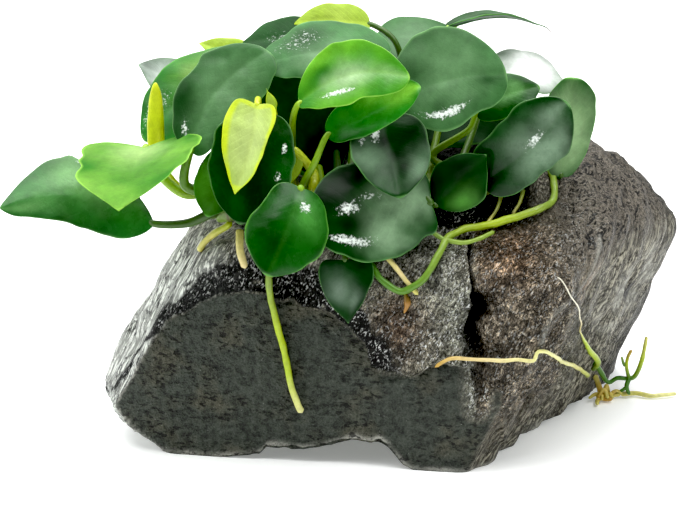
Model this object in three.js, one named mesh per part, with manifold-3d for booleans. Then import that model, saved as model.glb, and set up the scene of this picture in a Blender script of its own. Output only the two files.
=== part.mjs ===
// Petite anubias nana grown onto a block of driftwood.
// Millimetres, +Z up, +X to the right of the plant's front, +Y to its back.
// The origin is on the wood's flat underside, on the surface that it stands on.
import * as THREE from 'three';
import { mergeVertices } from 'three/addons/utils/BufferGeometryUtils.js';
import Module from 'manifold-3d';

const wasm = await Module();
wasm.setup();

// Driving dimensions of the wood
const woodCentre = new THREE.Vector3(12, 4, 26);
const woodSharpness = 22;
const woodRings = 20;
const woodSectors = 55;
const woodBrown = 0x5a4c40;
// Each face of the block: its outward direction and its distance from the centre
const woodFaces = {
  sawnFront: { out: [-0.17, -0.985, 0.02], reach: 28.2 },
  frontTop: { out: [0.02, -0.6, 0.8], reach: 29 },
  leftUnder: { out: [-0.64, -0.05, -0.77], reach: 51 },
  leftSlope: { out: [-0.85, -0.22, 0.48], reach: 44.4 },
  leftBack: { out: [-0.72, 0.55, 0.42], reach: 34.5 },
  leftTop: { out: [-0.42, -0.1, 0.9], reach: 32.6 },
  top: { out: [-0.09, -0.1, 0.99], reach: 27.4 },
  right: { out: [0.79, -0.5, -0.35], reach: 35.3 },
  rightTop: { out: [0.74, -0.1, 0.66], reach: 48.6 },
  farRight: { out: [0.86, 0.5, -0.05], reach: 56.4 },
  back: { out: [-0.05, 0.99, 0.08], reach: 31 },
  backTop: { out: [0.05, 0.7, 0.71], reach: 30 },
  underside: { out: [0, 0, -1], reach: 30 },
};
// Swellings of the natural surface: where, how wide, how high. On the sawn face they keep a
// share of their height.
const sawnShare = 0.25;
const woodSwellings = [
  { at: [17, -24, 30], width: 11, height: 2.6 },
  { at: [36, -22, 32], width: 12, height: 2.2 },
  { at: [58, 12, 34], width: 14, height: 1.6 },
  { at: [-20, 30, 26], width: 16, height: 2.4 },
  { at: [24, 36, 30], width: 15, height: 2 },
  { at: [44, 34, 14], width: 13, height: -2.6 },
  { at: [2, 36, 12], width: 9, height: -2.4 },
];
// The crack between the two lobes: points from top to bottom, half width, depth
const crackLine = [[25, 48], [25.3, 41], [27.6, 33], [26, 26], [27.6, 15]];
const crackHalfWidth = 2.6;
const crackDepth = 5.2;
// Long ridges that follow the grain of the natural surface: how high, how far apart, and the
// direction across them
const ridgeHeight = 0.55;
const ridgeSpacing = 9;
const ridgeAcross = new THREE.Vector3(0.8, 0.55, -0.45);
// The arch under the front edge, an ellipsoid cut: centre and half sizes
const archCentre = [0.5, -25, 0];
const archHalf = [12.6, 17, 6];
const archSectors = 20;
const archRings = 12;

// Driving dimensions of the plant
const stemPoints = [
  [-24, -15.5, 48.6], [-12, -17, 51], [-2, -17.2, 51.6], [8, -16.6, 51.6],
  [17, -15.6, 51.8], [28, -13, 53.4], [39, -9, 56],
];
const stemRadius = 2.1;
const stemTaper = 0.8;
const stemSides = 7;
const stemSteps = 12;
const bladeRows = 6;
const bladeColumns = 4;
// The crease along a folded blade's midrib is rounded over this share of its half width
const creaseRound = 0.1;
// A stalk is thick at the stem and thin where it ends, this far up the midrib as an angle
const stalkRadius = [0.75, 0.42];
const stalkEndAngle = 0.22 * Math.PI;
const stalkRise = 2.2;
const stalkSides = 4;
const stalkSteps = 4;
const rootSides = 4;
// Air between pieces that touch, and the height at which roots pass over the wood's grain
const clearance = 0.45;
const rootLift = 0.4;

const stemGreen = 0x6b8a3a;
const rootYellow = 0xb9b23a;
const tuftAmber = 0xc9a23a;
const leafGreen = 0x3f8f3a;
const darkGreen = 0x1f5a2a;
const greyGreen = 0x5f8a66;
const lightGreen = 0x7fc050;
const youngYellow = 0xc8dc28;

// One entry for each leaf. from: where its stalk starts, as a share of the stem's length and a
// turn about it in degrees (0 is up, negative is to the front). base and tip: the ends of the
// midrib. face: the side that the blade's upper surface looks to. half: half the blade's width.
// fold: how far both halves rise, in degrees. cup: how far the edges curl. arch: how far the
// midrib bows out of the blade. bend: how far it bows sideways. wave: how far the edge waves.
// point: 0 round to 1 pointed tip. broad: the same for the base. lobe: how far the two ears
// beside the base reach back. thick: the thickness at the midrib. via: bends of the stalk.
const usualLeaf = {
  via: [], fold: 0, cup: 0, arch: 0, bend: 0, wave: 0, point: 0.2, broad: 0, lobe: 0.2, thick: 0.62,
};
const leaves = {
  leaf_far_left: { from: [0, -70], via: [[-28.5, -19.5, 48]], base: [-35, -20, 48],
    tip: [-62.9, -22, 51.8], face: [0, -0.75, 0.6], half: 6.9, fold: -14, bend: -4.8, point: 0.3,
    broad: 0.3, lobe: 0, colour: darkGreen },
  leaf_light_left: { from: [0.02, 30], via: [[-29.5, -15, 52.5], [-35, -13.6, 57]],
    base: [-36.8, -13.2, 61], tip: [-39.8, -36, 56], face: [-0.14, -0.15, 1], half: 12.4,
    fold: 14, cup: 0.06, arch: 0.6, point: 0.4, lobe: 0.04, colour: lightGreen },
  leaf_left_inner: { from: [0.03, -25], via: [[-29, -18.2, 55]], base: [-28, -17.4, 61.8],
    tip: [-14, -10, 78.6], face: [-0.15, -0.9, 0.4], half: 7.6, fold: 10, cup: -0.12, bend: 2.8,
    point: -0.2, colour: greyGreen },
  leaf_left_outer: { from: [0.13, 30], via: [[-18, -7, 58]], base: [-14, 0.4, 74],
    tip: [-37.5, -5, 61], face: [-0.3, -0.7, 0.62], half: 9, fold: 8, cup: -0.1, bend: -3,
    point: 0, colour: leafGreen },
  leaf_left_grey: { from: [0.17, 55], via: [[-17, -1, 57]], base: [-25, 8.4, 64.2],
    tip: [-38.8, 7, 72.2], face: [-0.35, -0.55, 0.8], half: 5.6, fold: 10, point: 0.3,
    colour: greyGreen },
  leaf_left_yellow_tip: { from: [0.26, 90], via: [[-13, 1, 60]], base: [-16, 8.5, 72.6],
    tip: [-27, 9.5, 76], face: [0, -0.7, 0.75], half: 3.2, fold: 12, point: 0.3,
    colour: youngYellow },
  leaf_rolled_yellow: { from: [0.07, 60], via: [[-30, -9, 51.4]], base: [-35, -9.6, 58.8],
    tip: [-35, -9, 71.8], face: [0, -1, 0.1], half: 1.7, thick: 2.4, fold: 0, point: -0.6,
    broad: -0.6, colour: youngYellow },
  leaf_young_yellow: { from: [0.19, 45], via: [[-15, -12.6, 65], [-15.2, -15.6, 70.8]],
    base: [-15.2, -21.5, 71.5], tip: [-19, -30.5, 57.6], face: [-0.1, -0.88, 0.46], half: 5.3,
    fold: 12, cup: 0.16, bend: 0.8, point: 0.5, broad: -0.3, colour: youngYellow },
  leaf_dark_mid: { from: [0.15, 0], via: [[-13.4, -15.2, 59]], base: [-14.2, -16, 68],
    tip: [-18.4, -25.2, 50.2], face: [0, -0.92, 0.4], half: 8.3, fold: 14, cup: 0.05, bend: -0.6,
    point: 0.1, colour: darkGreen },
  leaf_left_mid: { from: [0.08, -15], via: [[-20.4, -14.5, 55]], base: [-20.2, -16.4, 61],
    tip: [-24.5, -23, 51], face: [-0.2, -0.9, 0.3], half: 5, fold: 6, point: 0.1,
    colour: leafGreen },
  leaf_front_round: { from: [0.25, -62], base: [-7.2, -25.2, 56.4], tip: [-13, -33.4, 42.8],
    face: [0.12, -0.86, 0.48], half: 7.2, fold: -4, cup: -0.2, arch: 1.2, bend: 0.4, point: 0,
    colour: leafGreen },
  leaf_young_narrow: { from: [0.3, -30], via: [[-4.8, -18, 57]], base: [-8.4, -17, 61.5],
    tip: [-11.2, -19.4, 54.6], face: [0.1, -0.95, 0.2], half: 2.6, fold: 16, point: 0.7,
    colour: youngYellow },
  leaf_bright_centre: { from: [0.23, 35], via: [[-9, -10, 58], [-8.8, -13.6, 66.4]],
    base: [-7.4, -20.5, 71.5], tip: [12.1, -24, 77.3], face: [-0.05, -0.82, 0.56], half: 6.9,
    fold: 5, cup: 0.08, bend: 3, point: -0.02, lobe: 0.08, colour: lightGreen },
  leaf_bright_under: { from: [0.27, -30], via: [[-4.6, -20, 60]], base: [-2.2, -18, 64.8],
    tip: [14.3, -20.5, 74.4], face: [0.1, -0.8, 0.6], half: 4.8, fold: 6, cup: 0.06, point: -0.05,
    lobe: 0.1, colour: leafGreen },
  leaf_inner_dark: { from: [0.29, 40], via: [[-8, -9, 55]], base: [-9.5, -7.5, 60], tip: [-6, -6, 76],
    face: [0.1, -0.85, 0.4], half: 8.2, fold: 6, point: 0.3, colour: darkGreen },
  bud_centre: { from: [0.21, 60], via: [[-12, -10, 61.6]], base: [-12.4, -14.6, 69],
    tip: [-13.4, -16.4, 72.6], face: [0, -0.9, 0.4], half: 1, thick: 1.5, point: 0.8,
    colour: youngYellow },
  leaf_top_speckled: { from: [0.41, 30], via: [[3, -8, 62]], base: [9.4, -9, 77.8],
    tip: [-14.8, -9.2, 76.2], face: [0, -0.68, 0.74], half: 8.2, fold: -6, cup: -0.1, bend: -2,
    point: -0.1, colour: greyGreen },
  leaf_top_dark: { from: [0.37, 50], via: [[-1, -1, 62]], base: [-3, 5, 78],
    tip: [-18, 5.4, 77.2], face: [0, -0.65, 0.76], half: 5, fold: 4, bend: -0.8, point: 0.3,
    colour: darkGreen },
  leaf_top_yellow: { from: [0.44, 60], via: [[10.6, -7, 71], [9.8, -4.4, 79]],
    base: [5.8, 1, 81.8], tip: [-8, 0, 82.2], face: [0.05, -0.6, 0.8], half: 4.3, fold: 6,
    bend: -0.9, point: 0.3, lobe: 0.1, colour: youngYellow },
  leaf_top_back: { from: [0.5, 25], via: [[11, -6, 64]], base: [12.4, -4, 72.6],
    tip: [16, 12, 80.6], face: [0, -0.55, 0.83], half: 8, fold: -6, point: -0.5, lobe: 0.1,
    colour: greyGreen },
  leaf_top_right_thin: { from: [0.64, 40], via: [[23.4, 0.6, 71]], base: [21, 5, 80.2],
    tip: [39.2, 8, 79.8], face: [0, 0.12, 1], half: 4.8, fold: 6, arch: 2.3, point: 0.8,
    colour: leafGreen },
  leaf_big_right: { from: [0.56, 5], via: [[12.8, -11.4, 61]], base: [11.4, -12.8, 70.2],
    tip: [30.6, -13.6, 75.4], face: [0, -0.86, 0.5], half: 10.2, fold: 3, cup: -0.06, bend: 1.4,
    point: -0.2, colour: greyGreen },
  leaf_right_mid: { from: [0.7, 10], via: [[17.6, -12, 59], [24.8, -11, 64.2]],
    base: [26, -9.4, 66.8], tip: [37.3, -9.4, 71.7], face: [0.1, -0.75, 0.64], half: 4.3, fold: 4,
    bend: 1, point: 0, lobe: 0.1, colour: leafGreen },
  leaf_right_pale: { from: [0.73, 45], via: [[26, -3, 62]], base: [30, 3, 73],
    tip: [43.6, 3.6, 69.4], face: [0.3, -0.42, 0.85], half: 6.4, fold: -4, arch: 1.2, point: 0.2,
    colour: greyGreen },
  leaf_right_dark: { from: [0.8, -45], base: [27, -16.6, 55], tip: [42, -18, 70.4],
    face: [0.05, -0.9, 0.42], half: 7.9, fold: 9, cup: -0.08, bend: -1.4, point: -0.1,
    colour: darkGreen },
  leaf_right_back: { from: [0.96, 35], via: [[40.4, -4.4, 57.4]], base: [42.8, -7, 53.7],
    tip: [44.4, -6, 72.2], face: [0.3, -0.85, 0.35], half: 5.4, fold: 6, bend: 0, point: -0.4,
    colour: leafGreen },
  leaf_centre_fold: { from: [0.47, 20], via: [[6.4, -12.6, 60]], base: [8, -15, 67],
    tip: [11.2, -25.8, 55.5], face: [0, -0.86, 0.5], half: 7.7, fold: 16, bend: 0.4, point: 0,
    colour: greyGreen },
  leaf_front_big: { from: [0.6, -20], via: [[14.6, -19, 55]], base: [17.2, -21.2, 52.4],
    tip: [-5.4, -25.8, 50.4], face: [0.05, -0.88, 0.42], half: 9.2, fold: -3, cup: -0.08,
    bend: -0.6, wave: 0.7, point: -0.1, colour: darkGreen },
  leaf_small_dark: { from: [0.74, -10], via: [[19.6, -16, 57.2]], base: [18.2, -18.2, 50.9],
    tip: [27, -18.6, 60.6], face: [0, -0.9, 0.4], half: 5.3, fold: 2, point: 0.5, broad: 0.4,
    lobe: 0, colour: darkGreen },
  leaf_hanging_dark: { from: [0.4, -100], via: [[1, -22.3, 46.4]], base: [1, -24.9, 42.4],
    tip: [1.6, -28, 31.6], face: [0, -0.98, 0.2], half: 5, fold: 6, point: 0.5, broad: -0.5,
    colour: darkGreen },
  leaf_back_left: { from: [0.1, 80], via: [[-19, -3, 54]], base: [-21, 4, 57], tip: [-37, 15, 59],
    face: [-0.3, 0.3, 0.9], half: 7.2, fold: 8, arch: 2, point: 0.3, colour: leafGreen },
  leaf_back_low: { from: [0.15, 95], via: [[-11, -1, 54]], base: [-9, 10, 59],
    tip: [-19, 29, 55], face: [-0.2, 0.45, 0.86], half: 7.6, fold: 8, arch: 2.4, point: 0.3,
    colour: darkGreen },
  leaf_back_centre: { from: [0.38, 80], via: [[3, 0, 57]], base: [4, 12, 62],
    tip: [6, 33, 58], face: [0, 0.5, 0.86], half: 8, fold: 8, arch: 2.4, point: 0.25,
    colour: leafGreen },
  leaf_back_high: { from: [0.33, 90], via: [[-5, -1, 60]], base: [-6, 9, 71],
    tip: [-11, 27, 70], face: [-0.2, 0.4, 0.9], half: 7, fold: 9, arch: 2, point: 0.35,
    colour: lightGreen },
  leaf_back_right: { from: [0.6, 75], via: [[18, 0, 57]], base: [16, 3, 61.5],
    tip: [38.4, 8, 63.6], face: [0, -0.75, 0.66], half: 6, fold: 4, arch: 0, point: 0.25,
    colour: leafGreen },
  leaf_back_far_right: { from: [0.87, 60], via: [[37, 0, 60]], base: [37, 8, 61],
    tip: [43, 26, 58], face: [0.4, 0.3, 0.87], half: 7, fold: 8, arch: 2, point: 0.3,
    colour: darkGreen },
  leaf_back_upright: { from: [0.55, 50], via: [[14.6, -1, 62]], base: [13, 11, 67.4],
    tip: [20, 22, 75], face: [0.1, 0.8, 0.6], half: 7, fold: 8, arch: 1.4, point: 0.3,
    colour: greyGreen },
};

// Roots that lie on the wood: the ends and bends of each path, its radius at the two ends, and
// how far it stands off the wood where it crosses another.
const roots = {
  root_front_hanging: { radius: [0.72, 0.58], path: [
    [-12.8, -20.5, 44.5], [-12.8, -20.3, 40], [-12, -20.3, 32.8], [-10.6, -20.7, 26.4],
    [-8.9, -21.1, 18], [-6.8, -21.7, 10.8]] },
  root_short_centre: { radius: [0.55, 0.35], path: [
    [-20.6, -19, 47.5], [-20.6, -21, 44.5], [-20.2, -23, 40.5]] },
  root_short_left: { radius: [0.5, 0.35], path: [
    [-21.4, -16, 47.5], [-24.6, -15, 43.5], [-26.6, -14, 40.5]] },
  root_loop: { radius: [0.75, 0.6], path: [
    [39.6, -9, 52], [40.4, -12, 49], [36.5, -15, 49], [31, -18, 48], [24, -20, 47.4],
    [20.4, -21, 45.4], [18, -23, 42], [15.6, -25, 38.6], [11.4, -26, 36.8], [8, -25, 38.6],
    [5.4, -23, 41.6]] },
  root_curl: { radius: [0.5, 0.35], lift: 2.1, path: [
    [15.2, -20, 48.6], [18.6, -21, 45.4], [22, -21, 44], [26, -20, 44.6], [29, -19, 46]] },
  root_pale: { radius: [0.5, 0.35], path: [[7.6, -22, 41.6], [9.4, -23, 40.4], [11.4, -24, 39]] },
  root_thin_left: { radius: [0.4, 0.3], path: [[32.6, -12, 53.4], [31, -15, 50.6]] },
  root_thin_right: { radius: [0.4, 0.3], path: [[37.6, -10, 53.6], [36.6, -13, 51.2]] },
  root_cross: { radius: [0.5, 0.55], lift: 0.65, path: [
    [17.5, -26, 22.6], [19.9, -26.5, 24], [24.2, -26.5, 23.6], [28.5, -25.5, 23],
    [31.2, -26.5, 24.1], [34.6, -26.4, 23.4], [35.9, -26.6, 25.4], [39.1, -24, 23.8],
    [41.6, -15.9, 19.5], [45.2, -5.8, 14.7], [49.3, 4.4, 8.6]] },
  root_fine: { radius: [0.4, 0.55], path: [
    [38.8, -26.3, 39.4], [40.1, -26.2, 38.7], [41.6, -25.5, 35.4], [43.3, -21.6, 31.2],
    [45.8, -13.4, 25], [48.1, -5, 19], [50.9, 3.2, 13.7], [52.2, 8.6, 10.4]] },
};

// The tuft of root ends at the right, on the surface that the wood stands on
const tuftPaths = [
  [[57, 13.6, 5.2], [57.4, 12, 3], [57.6, 11.4, 1.1], [61, 12, 1], [66, 12.6, 1], [70.4, 12.8, 1]],
  [[57.2, 11.4, 1.4], [59.6, 12.4, 3.6], [61.6, 13, 6.2], [62.4, 13.4, 9.6], [63.6, 13.8, 13]],
  [[61.2, 12.8, 5.6], [62.6, 13.4, 7.2], [65, 13.8, 9.4]],
  [[57.6, 11.4, 1.1], [55.4, 10, 1], [53, 9.4, 1]],
  [[57.6, 11.4, 1.1], [59.6, 14, 1], [62, 17, 1]],
];
const tuftRadius = 0.6;
const tuftTaper = 0.7;

const vector = (list) => new THREE.Vector3(...list);

// A geometry with only positions, its shared vertices merged and its empty faces dropped.
function weld(geometry) {
  const bare = new THREE.BufferGeometry();
  bare.setAttribute('position', geometry.getAttribute('position'));
  bare.setIndex(geometry.getIndex());
  const merged = mergeVertices(bare, 1e-4);
  const corners = merged.getIndex().array;
  const kept = [];
  for (let i = 0; i < corners.length; i += 3) {
    const [a, b, c] = [corners[i], corners[i + 1], corners[i + 2]];
    if (a !== b && b !== c && c !== a) {
      kept.push(a, b, c);
    }
  }
  merged.setIndex(kept);
  return merged;
}

function toSolid(geometry) {
  const welded = weld(geometry);
  const vertProperties = new Float32Array(welded.getAttribute('position').array);
  const triVerts = new Uint32Array(welded.getIndex().array);
  return new wasm.Manifold(new wasm.Mesh({ numProp: 3, vertProperties, triVerts }));
}

function toGeometry(solid) {
  const mesh = solid.getMesh();
  const geometry = new THREE.BufferGeometry();
  geometry.setAttribute('position', new THREE.BufferAttribute(mesh.vertProperties, 3));
  geometry.setIndex(new THREE.BufferAttribute(mesh.triVerts, 1));
  geometry.computeVertexNormals();
  return geometry;
}

function indexed(positions, faces) {
  const geometry = new THREE.BufferGeometry();
  geometry.setAttribute('position', new THREE.Float32BufferAttribute(positions, 3));
  geometry.setIndex(faces);
  return geometry;
}

// A round closed tube along a smooth curve, its radius going evenly from one end to the other.
function tube(points, radiusStart, radiusEnd, sides, steps) {
  const curve = new THREE.CatmullRomCurve3(points, false, 'centripetal');
  const frames = curve.computeFrenetFrames(steps, false);
  const positions = [];
  const faces = [];
  for (let i = 0; i <= steps; i += 1) {
    const centre = curve.getPointAt(i / steps);
    const radius = radiusStart + (radiusEnd - radiusStart) * i / steps;
    for (let k = 0; k < sides; k += 1) {
      const turn = 2 * Math.PI * k / sides;
      const point = centre.clone();
      point.addScaledVector(frames.normals[i], radius * Math.cos(turn));
      point.addScaledVector(frames.binormals[i], radius * Math.sin(turn));
      positions.push(...point.toArray());
    }
  }
  for (let i = 0; i < steps; i += 1) {
    for (let k = 0; k < sides; k += 1) {
      const a = i * sides + k;
      const b = i * sides + (k + 1) % sides;
      faces.push(a, b, b + sides, a, b + sides, a + sides);
    }
  }
  const last = steps * sides;
  for (let k = 1; k < sides - 1; k += 1) {
    faces.push(0, k + 1, k, last, last + k, last + k + 1);
  }
  return indexed(positions, faces);
}

// Distance of a point of the front from the crack's line, seen from the front.
function crackDistance(point) {
  let nearest = Infinity;
  for (let i = 0; i + 1 < crackLine.length; i += 1) {
    const [ax, az] = crackLine[i];
    const [bx, bz] = crackLine[i + 1];
    const along = ((point.x - ax) * (bx - ax) + (point.z - az) * (bz - az))
      / ((bx - ax) ** 2 + (bz - az) ** 2);
    const share = Math.min(1, Math.max(0, along));
    const dx = point.x - ax - share * (bx - ax);
    const dz = point.z - az - share * (bz - az);
    nearest = Math.min(nearest, Math.hypot(dx, dz));
  }
  return nearest;
}

// The wood's surface, seen from its centre: how far it is in a direction. The block is the soft
// meeting of its faces, with the swellings, the grain's ridges and the crack worked into it.
function woodReach(direction, withCrack = true) {
  let total = 0;
  let sawn = 0;
  for (const [name, face] of Object.entries(woodFaces)) {
    const slope = direction.dot(vector(face.out).normalize());
    const pull = (Math.max(0, slope) / face.reach) ** woodSharpness;
    total += pull;
    if (name === 'sawnFront') {
      sawn = pull;
    }
  }
  let reach = total ** (-1 / woodSharpness);
  const natural = 1 - sawn / total;
  const point = woodCentre.clone().addScaledVector(direction, reach);
  for (const swelling of woodSwellings) {
    const away = point.distanceTo(vector(swelling.at)) / swelling.width;
    reach += swelling.height * Math.exp(-away * away) * Math.max(natural, sawnShare);
  }
  const wave = 2 * Math.PI * point.dot(ridgeAcross) / ridgeSpacing;
  reach += ridgeHeight * Math.sin(wave) * natural;
  if (withCrack && point.y < 0) {
    const nearness = crackDistance(point) / crackHalfWidth;
    reach -= crackDepth * Math.exp(-nearness * nearness);
  }
  const floorReach = direction.z < 0 ? woodCentre.z / -direction.z : Infinity;
  return Math.min(reach, floorReach);
}

// The place on the wood's surface that faces a given point, lifted off it by some distance.
function onWood(point, lift) {
  const direction = point.clone().sub(woodCentre).normalize();
  return woodCentre.clone().addScaledVector(direction, woodReach(direction, false) + lift);
}

function makeWood() {
  const ball = new THREE.SphereGeometry(1, woodSectors, woodRings);
  ball.rotateX(Math.PI / 2);
  const places = ball.getAttribute('position');
  for (let i = 0; i < places.count; i += 1) {
    const direction = new THREE.Vector3().fromBufferAttribute(places, i).normalize();
    const place = woodCentre.clone().addScaledVector(direction, woodReach(direction));
    places.setXYZ(i, place.x, place.y, Math.max(0, place.z));
  }
  const arch = new THREE.SphereGeometry(1, archSectors, archRings);
  arch.scale(...archHalf);
  arch.translate(...archCentre);
  return toGeometry(toSolid(ball).subtract(toSolid(arch)));
}

const stemCurve = new THREE.CatmullRomCurve3(stemPoints.map(vector), false, 'centripetal');

function makeStem() {
  return tube(stemPoints.map(vector), stemRadius, stemRadius * stemTaper, stemSides, stemSteps);
}

// The directions of a blade: along its midrib, across it, and out of its upper surface.
function bladeFrame(leaf) {
  const base = vector(leaf.base);
  const along = vector(leaf.tip).sub(base);
  const length = along.length();
  along.normalize();
  const out = vector(leaf.face);
  out.addScaledVector(along, -out.dot(along)).normalize();
  const across = new THREE.Vector3().crossVectors(out, along);
  return { base, along, across, out, length };
}

// A point of the blade's middle sheet. angle goes from 0 at the base to pi at the tip, side from
// -1 to 1 across. The half width is a power of sin(angle / 2), which closes the base, times a
// power of cos(angle / 2), which closes the tip, scaled so that its widest is the leaf's own.
function bladePoint(leaf, angle, side) {
  const { base, along, across, out, length } = bladeFrame(leaf);
  const share = (1 - Math.cos(angle)) / 2;
  const toTip = 1 + leaf.point;
  const toBase = 1 + leaf.broad;
  const both = toTip + toBase;
  const shape = Math.sin(angle / 2) ** toBase * Math.cos(angle / 2) ** toTip;
  const widest = Math.sqrt(toBase ** toBase * toTip ** toTip / both ** both);
  const width = leaf.half * shape / widest;
  const bow = 4 * share * (1 - share);
  const fold = THREE.MathUtils.degToRad(leaf.fold);
  const crease = Math.sqrt(side * side + creaseRound ** 2) - creaseRound;
  const rise = width * (Math.sin(fold) * crease + leaf.cup * side * side)
    + leaf.wave * side * side * Math.sin(3 * angle + side);
  const ear = Math.abs(side) ** 1.5 * (1 - share) ** 5 * Math.sin(angle / 2);
  const point = base.clone();
  point.addScaledVector(along, length * share - 4 * leaf.lobe * leaf.half * ear);
  point.addScaledVector(across, width * side * Math.cos(fold) + leaf.bend * bow);
  point.addScaledVector(out, rise + leaf.arch * bow);
  return point;
}

// The blade, thickest along its midrib and thin at its edge.
function makeBlade(leaf) {
  const { out } = bladeFrame(leaf);
  const positions = [];
  const faces = [];
  const perSheet = (bladeRows + 1) * (bladeColumns + 1);
  for (const sheet of [1, -1]) {
    for (let i = 0; i <= bladeRows; i += 1) {
      const angle = Math.PI * i / bladeRows;
      for (let j = 0; j <= bladeColumns; j += 1) {
        const side = -1 + 2 * j / bladeColumns;
        const inner = i > 0 && i < bladeRows ? 1 - side * side : 0;
        const point = bladePoint(leaf, angle, side);
        point.addScaledVector(out, sheet * leaf.thick * inner / 2);
        positions.push(...point.toArray());
      }
    }
  }
  for (let i = 0; i < bladeRows; i += 1) {
    for (let j = 0; j < bladeColumns; j += 1) {
      const a = i * (bladeColumns + 1) + j;
      const b = a + 1;
      const c = b + bladeColumns + 1;
      const d = a + bladeColumns + 1;
      faces.push(a, d, c, a, c, b);
      faces.push(a + perSheet, c + perSheet, d + perSheet, a + perSheet, b + perSheet, c + perSheet);
    }
  }
  return indexed(positions, faces);
}

// The path of a leaf's stalk: off the stem, by way of its bends, into the midrib.
function stalkPath(leaf) {
  const [share, turn] = leaf.from;
  const centre = stemCurve.getPointAt(share);
  const heading = THREE.MathUtils.degToRad(turn);
  const off = new THREE.Vector3(0, Math.sin(heading), Math.cos(heading));
  const path = [
    centre.clone().addScaledVector(off, stemRadius + clearance),
    centre.clone().addScaledVector(off, stemRadius + stalkRise),
  ];
  for (const bend of leaf.via) {
    path.push(vector(bend));
  }
  path.push(bladePoint(leaf, 0, 0));
  path.push(bladePoint(leaf, stalkEndAngle, 0));
  return path;
}

function makeLeaf(leaf) {
  const steps = stalkSteps + leaf.via.length;
  const stalk = tube(stalkPath(leaf), ...stalkRadius, stalkSides, steps);
  return toGeometry(toSolid(makeBlade(leaf)).add(toSolid(stalk)));
}

// A root's path, with a place added between each two, all laid on the wood.
function makeRoot(root) {
  const [start, end] = root.radius;
  const lift = Math.max(start, end) + clearance + (root.lift ?? rootLift);
  const path = [];
  root.path.forEach((place, i) => {
    if (i > 0) {
      path.push(vector(root.path[i - 1]).add(vector(place)).multiplyScalar(0.5));
    }
    path.push(vector(place));
  });
  const laid = path.map((place) => onWood(place, lift));
  return tube(laid, start, end, rootSides, laid.length - 1);
}

function makeTuft() {
  let tuft = null;
  for (const path of tuftPaths) {
    const steps = 2 * (path.length - 1);
    const strand = tube(path.map(vector), tuftRadius, tuftRadius * tuftTaper, rootSides, steps);
    tuft = tuft ? tuft.add(toSolid(strand)) : toSolid(strand);
  }
  return toGeometry(tuft);
}

const plant = new THREE.Group();

function addPiece(name, geometry, color, roughness) {
  const material = new THREE.MeshStandardMaterial({ color, roughness, metalness: 0 });
  const piece = new THREE.Mesh(geometry, material);
  piece.name = name;
  plant.add(piece);
}

addPiece('driftwood', makeWood(), woodBrown, 0.6);
addPiece('rhizome', weld(makeStem()), stemGreen, 0.5);
for (const [name, own] of Object.entries(leaves)) {
  const leaf = { ...usualLeaf, ...own };
  addPiece(name, makeLeaf(leaf), leaf.colour, 0.3);
}
for (const [name, root] of Object.entries(roots)) {
  addPiece(name, weld(makeRoot(root)), rootYellow, 0.5);
}
addPiece('root_tuft', makeTuft(), tuftAmber, 0.5);

export default plant;
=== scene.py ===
# %% [markdown]
# # Petite anubias nana on driftwood
#
# A clump of small, round-leaved water plant grows over the top edge of a block of dark wood.
# Its creeping stem lies along that edge, the leaves rise and hang from it, and the roots run
# over the wood to the ground. The plain solids of all of these are already there, and each
# now gets its real surface: the wood its fibres and crack, each leaf its veins, rim and shine.

import itertools
import math

import bpy
import numpy as np
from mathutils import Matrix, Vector


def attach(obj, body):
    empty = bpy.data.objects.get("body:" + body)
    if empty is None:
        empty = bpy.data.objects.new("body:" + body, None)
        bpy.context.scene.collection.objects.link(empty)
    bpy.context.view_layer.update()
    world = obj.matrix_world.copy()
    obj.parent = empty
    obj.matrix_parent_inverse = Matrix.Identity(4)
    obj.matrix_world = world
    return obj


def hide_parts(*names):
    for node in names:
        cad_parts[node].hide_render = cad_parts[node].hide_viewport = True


MM = 0.001

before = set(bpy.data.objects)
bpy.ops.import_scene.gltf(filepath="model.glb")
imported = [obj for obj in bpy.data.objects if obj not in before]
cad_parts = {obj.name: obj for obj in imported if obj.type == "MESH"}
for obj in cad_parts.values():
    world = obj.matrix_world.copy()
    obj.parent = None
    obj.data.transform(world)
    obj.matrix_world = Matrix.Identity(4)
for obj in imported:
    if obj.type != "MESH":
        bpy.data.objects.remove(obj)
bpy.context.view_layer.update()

# %% [markdown]
# ## The camera
#
# The plant is seen from the front and a little above, from far enough away that the wood's
# edges hardly converge. A long lens does that. The camera only turns down, by the height
# angle, so its place and its turn both come from that one angle.

# %% Place the camera
CAMERA_DISTANCE = 0.45
CAMERA_HEIGHT_ANGLE = math.radians(18)
CAMERA_LENS = 120
LOOK_AT = Vector((0, 0, 0.034))

camera = bpy.data.objects.new("camera", bpy.data.cameras.new("camera"))
camera.data.lens = CAMERA_LENS
camera.data.sensor_width = 36
camera.location = LOOK_AT + CAMERA_DISTANCE * Vector(
    (0, -math.cos(CAMERA_HEIGHT_ANGLE), math.sin(CAMERA_HEIGHT_ANGLE)))
camera.rotation_euler = (math.pi / 2 - CAMERA_HEIGHT_ANGLE, 0, 0)
bpy.context.scene.collection.objects.link(camera)
bpy.context.scene.camera = camera
print("the camera stands at", [round(value, 3) for value in camera.location])

# %% [markdown]
# ## Light and floor
#
# The plant stands on a plain white surface between broad, soft lights. The large panel above
# lights every leaf that leans back, and the one behind lights the wood's left slope. A small
# one at the right gives clearer shadows. In front it stays dim, which leaves the upright
# leaves and the sawn face deep and dark.

# %% Place the light panels
def add_panel(name, place, size, power):
    """A square light of the given size and power, turned to face the plant."""
    light = bpy.data.lights.new(name, "AREA")
    light.shape = "SQUARE"
    light.size = size
    light.energy = power
    panel = bpy.data.objects.new(name, light)
    panel.location = place
    panel.rotation_euler = (LOOK_AT - Vector(place)).to_track_quat("-Z", "Y").to_euler()
    panel.visible_camera = False
    bpy.context.scene.collection.objects.link(panel)
    return panel


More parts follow.
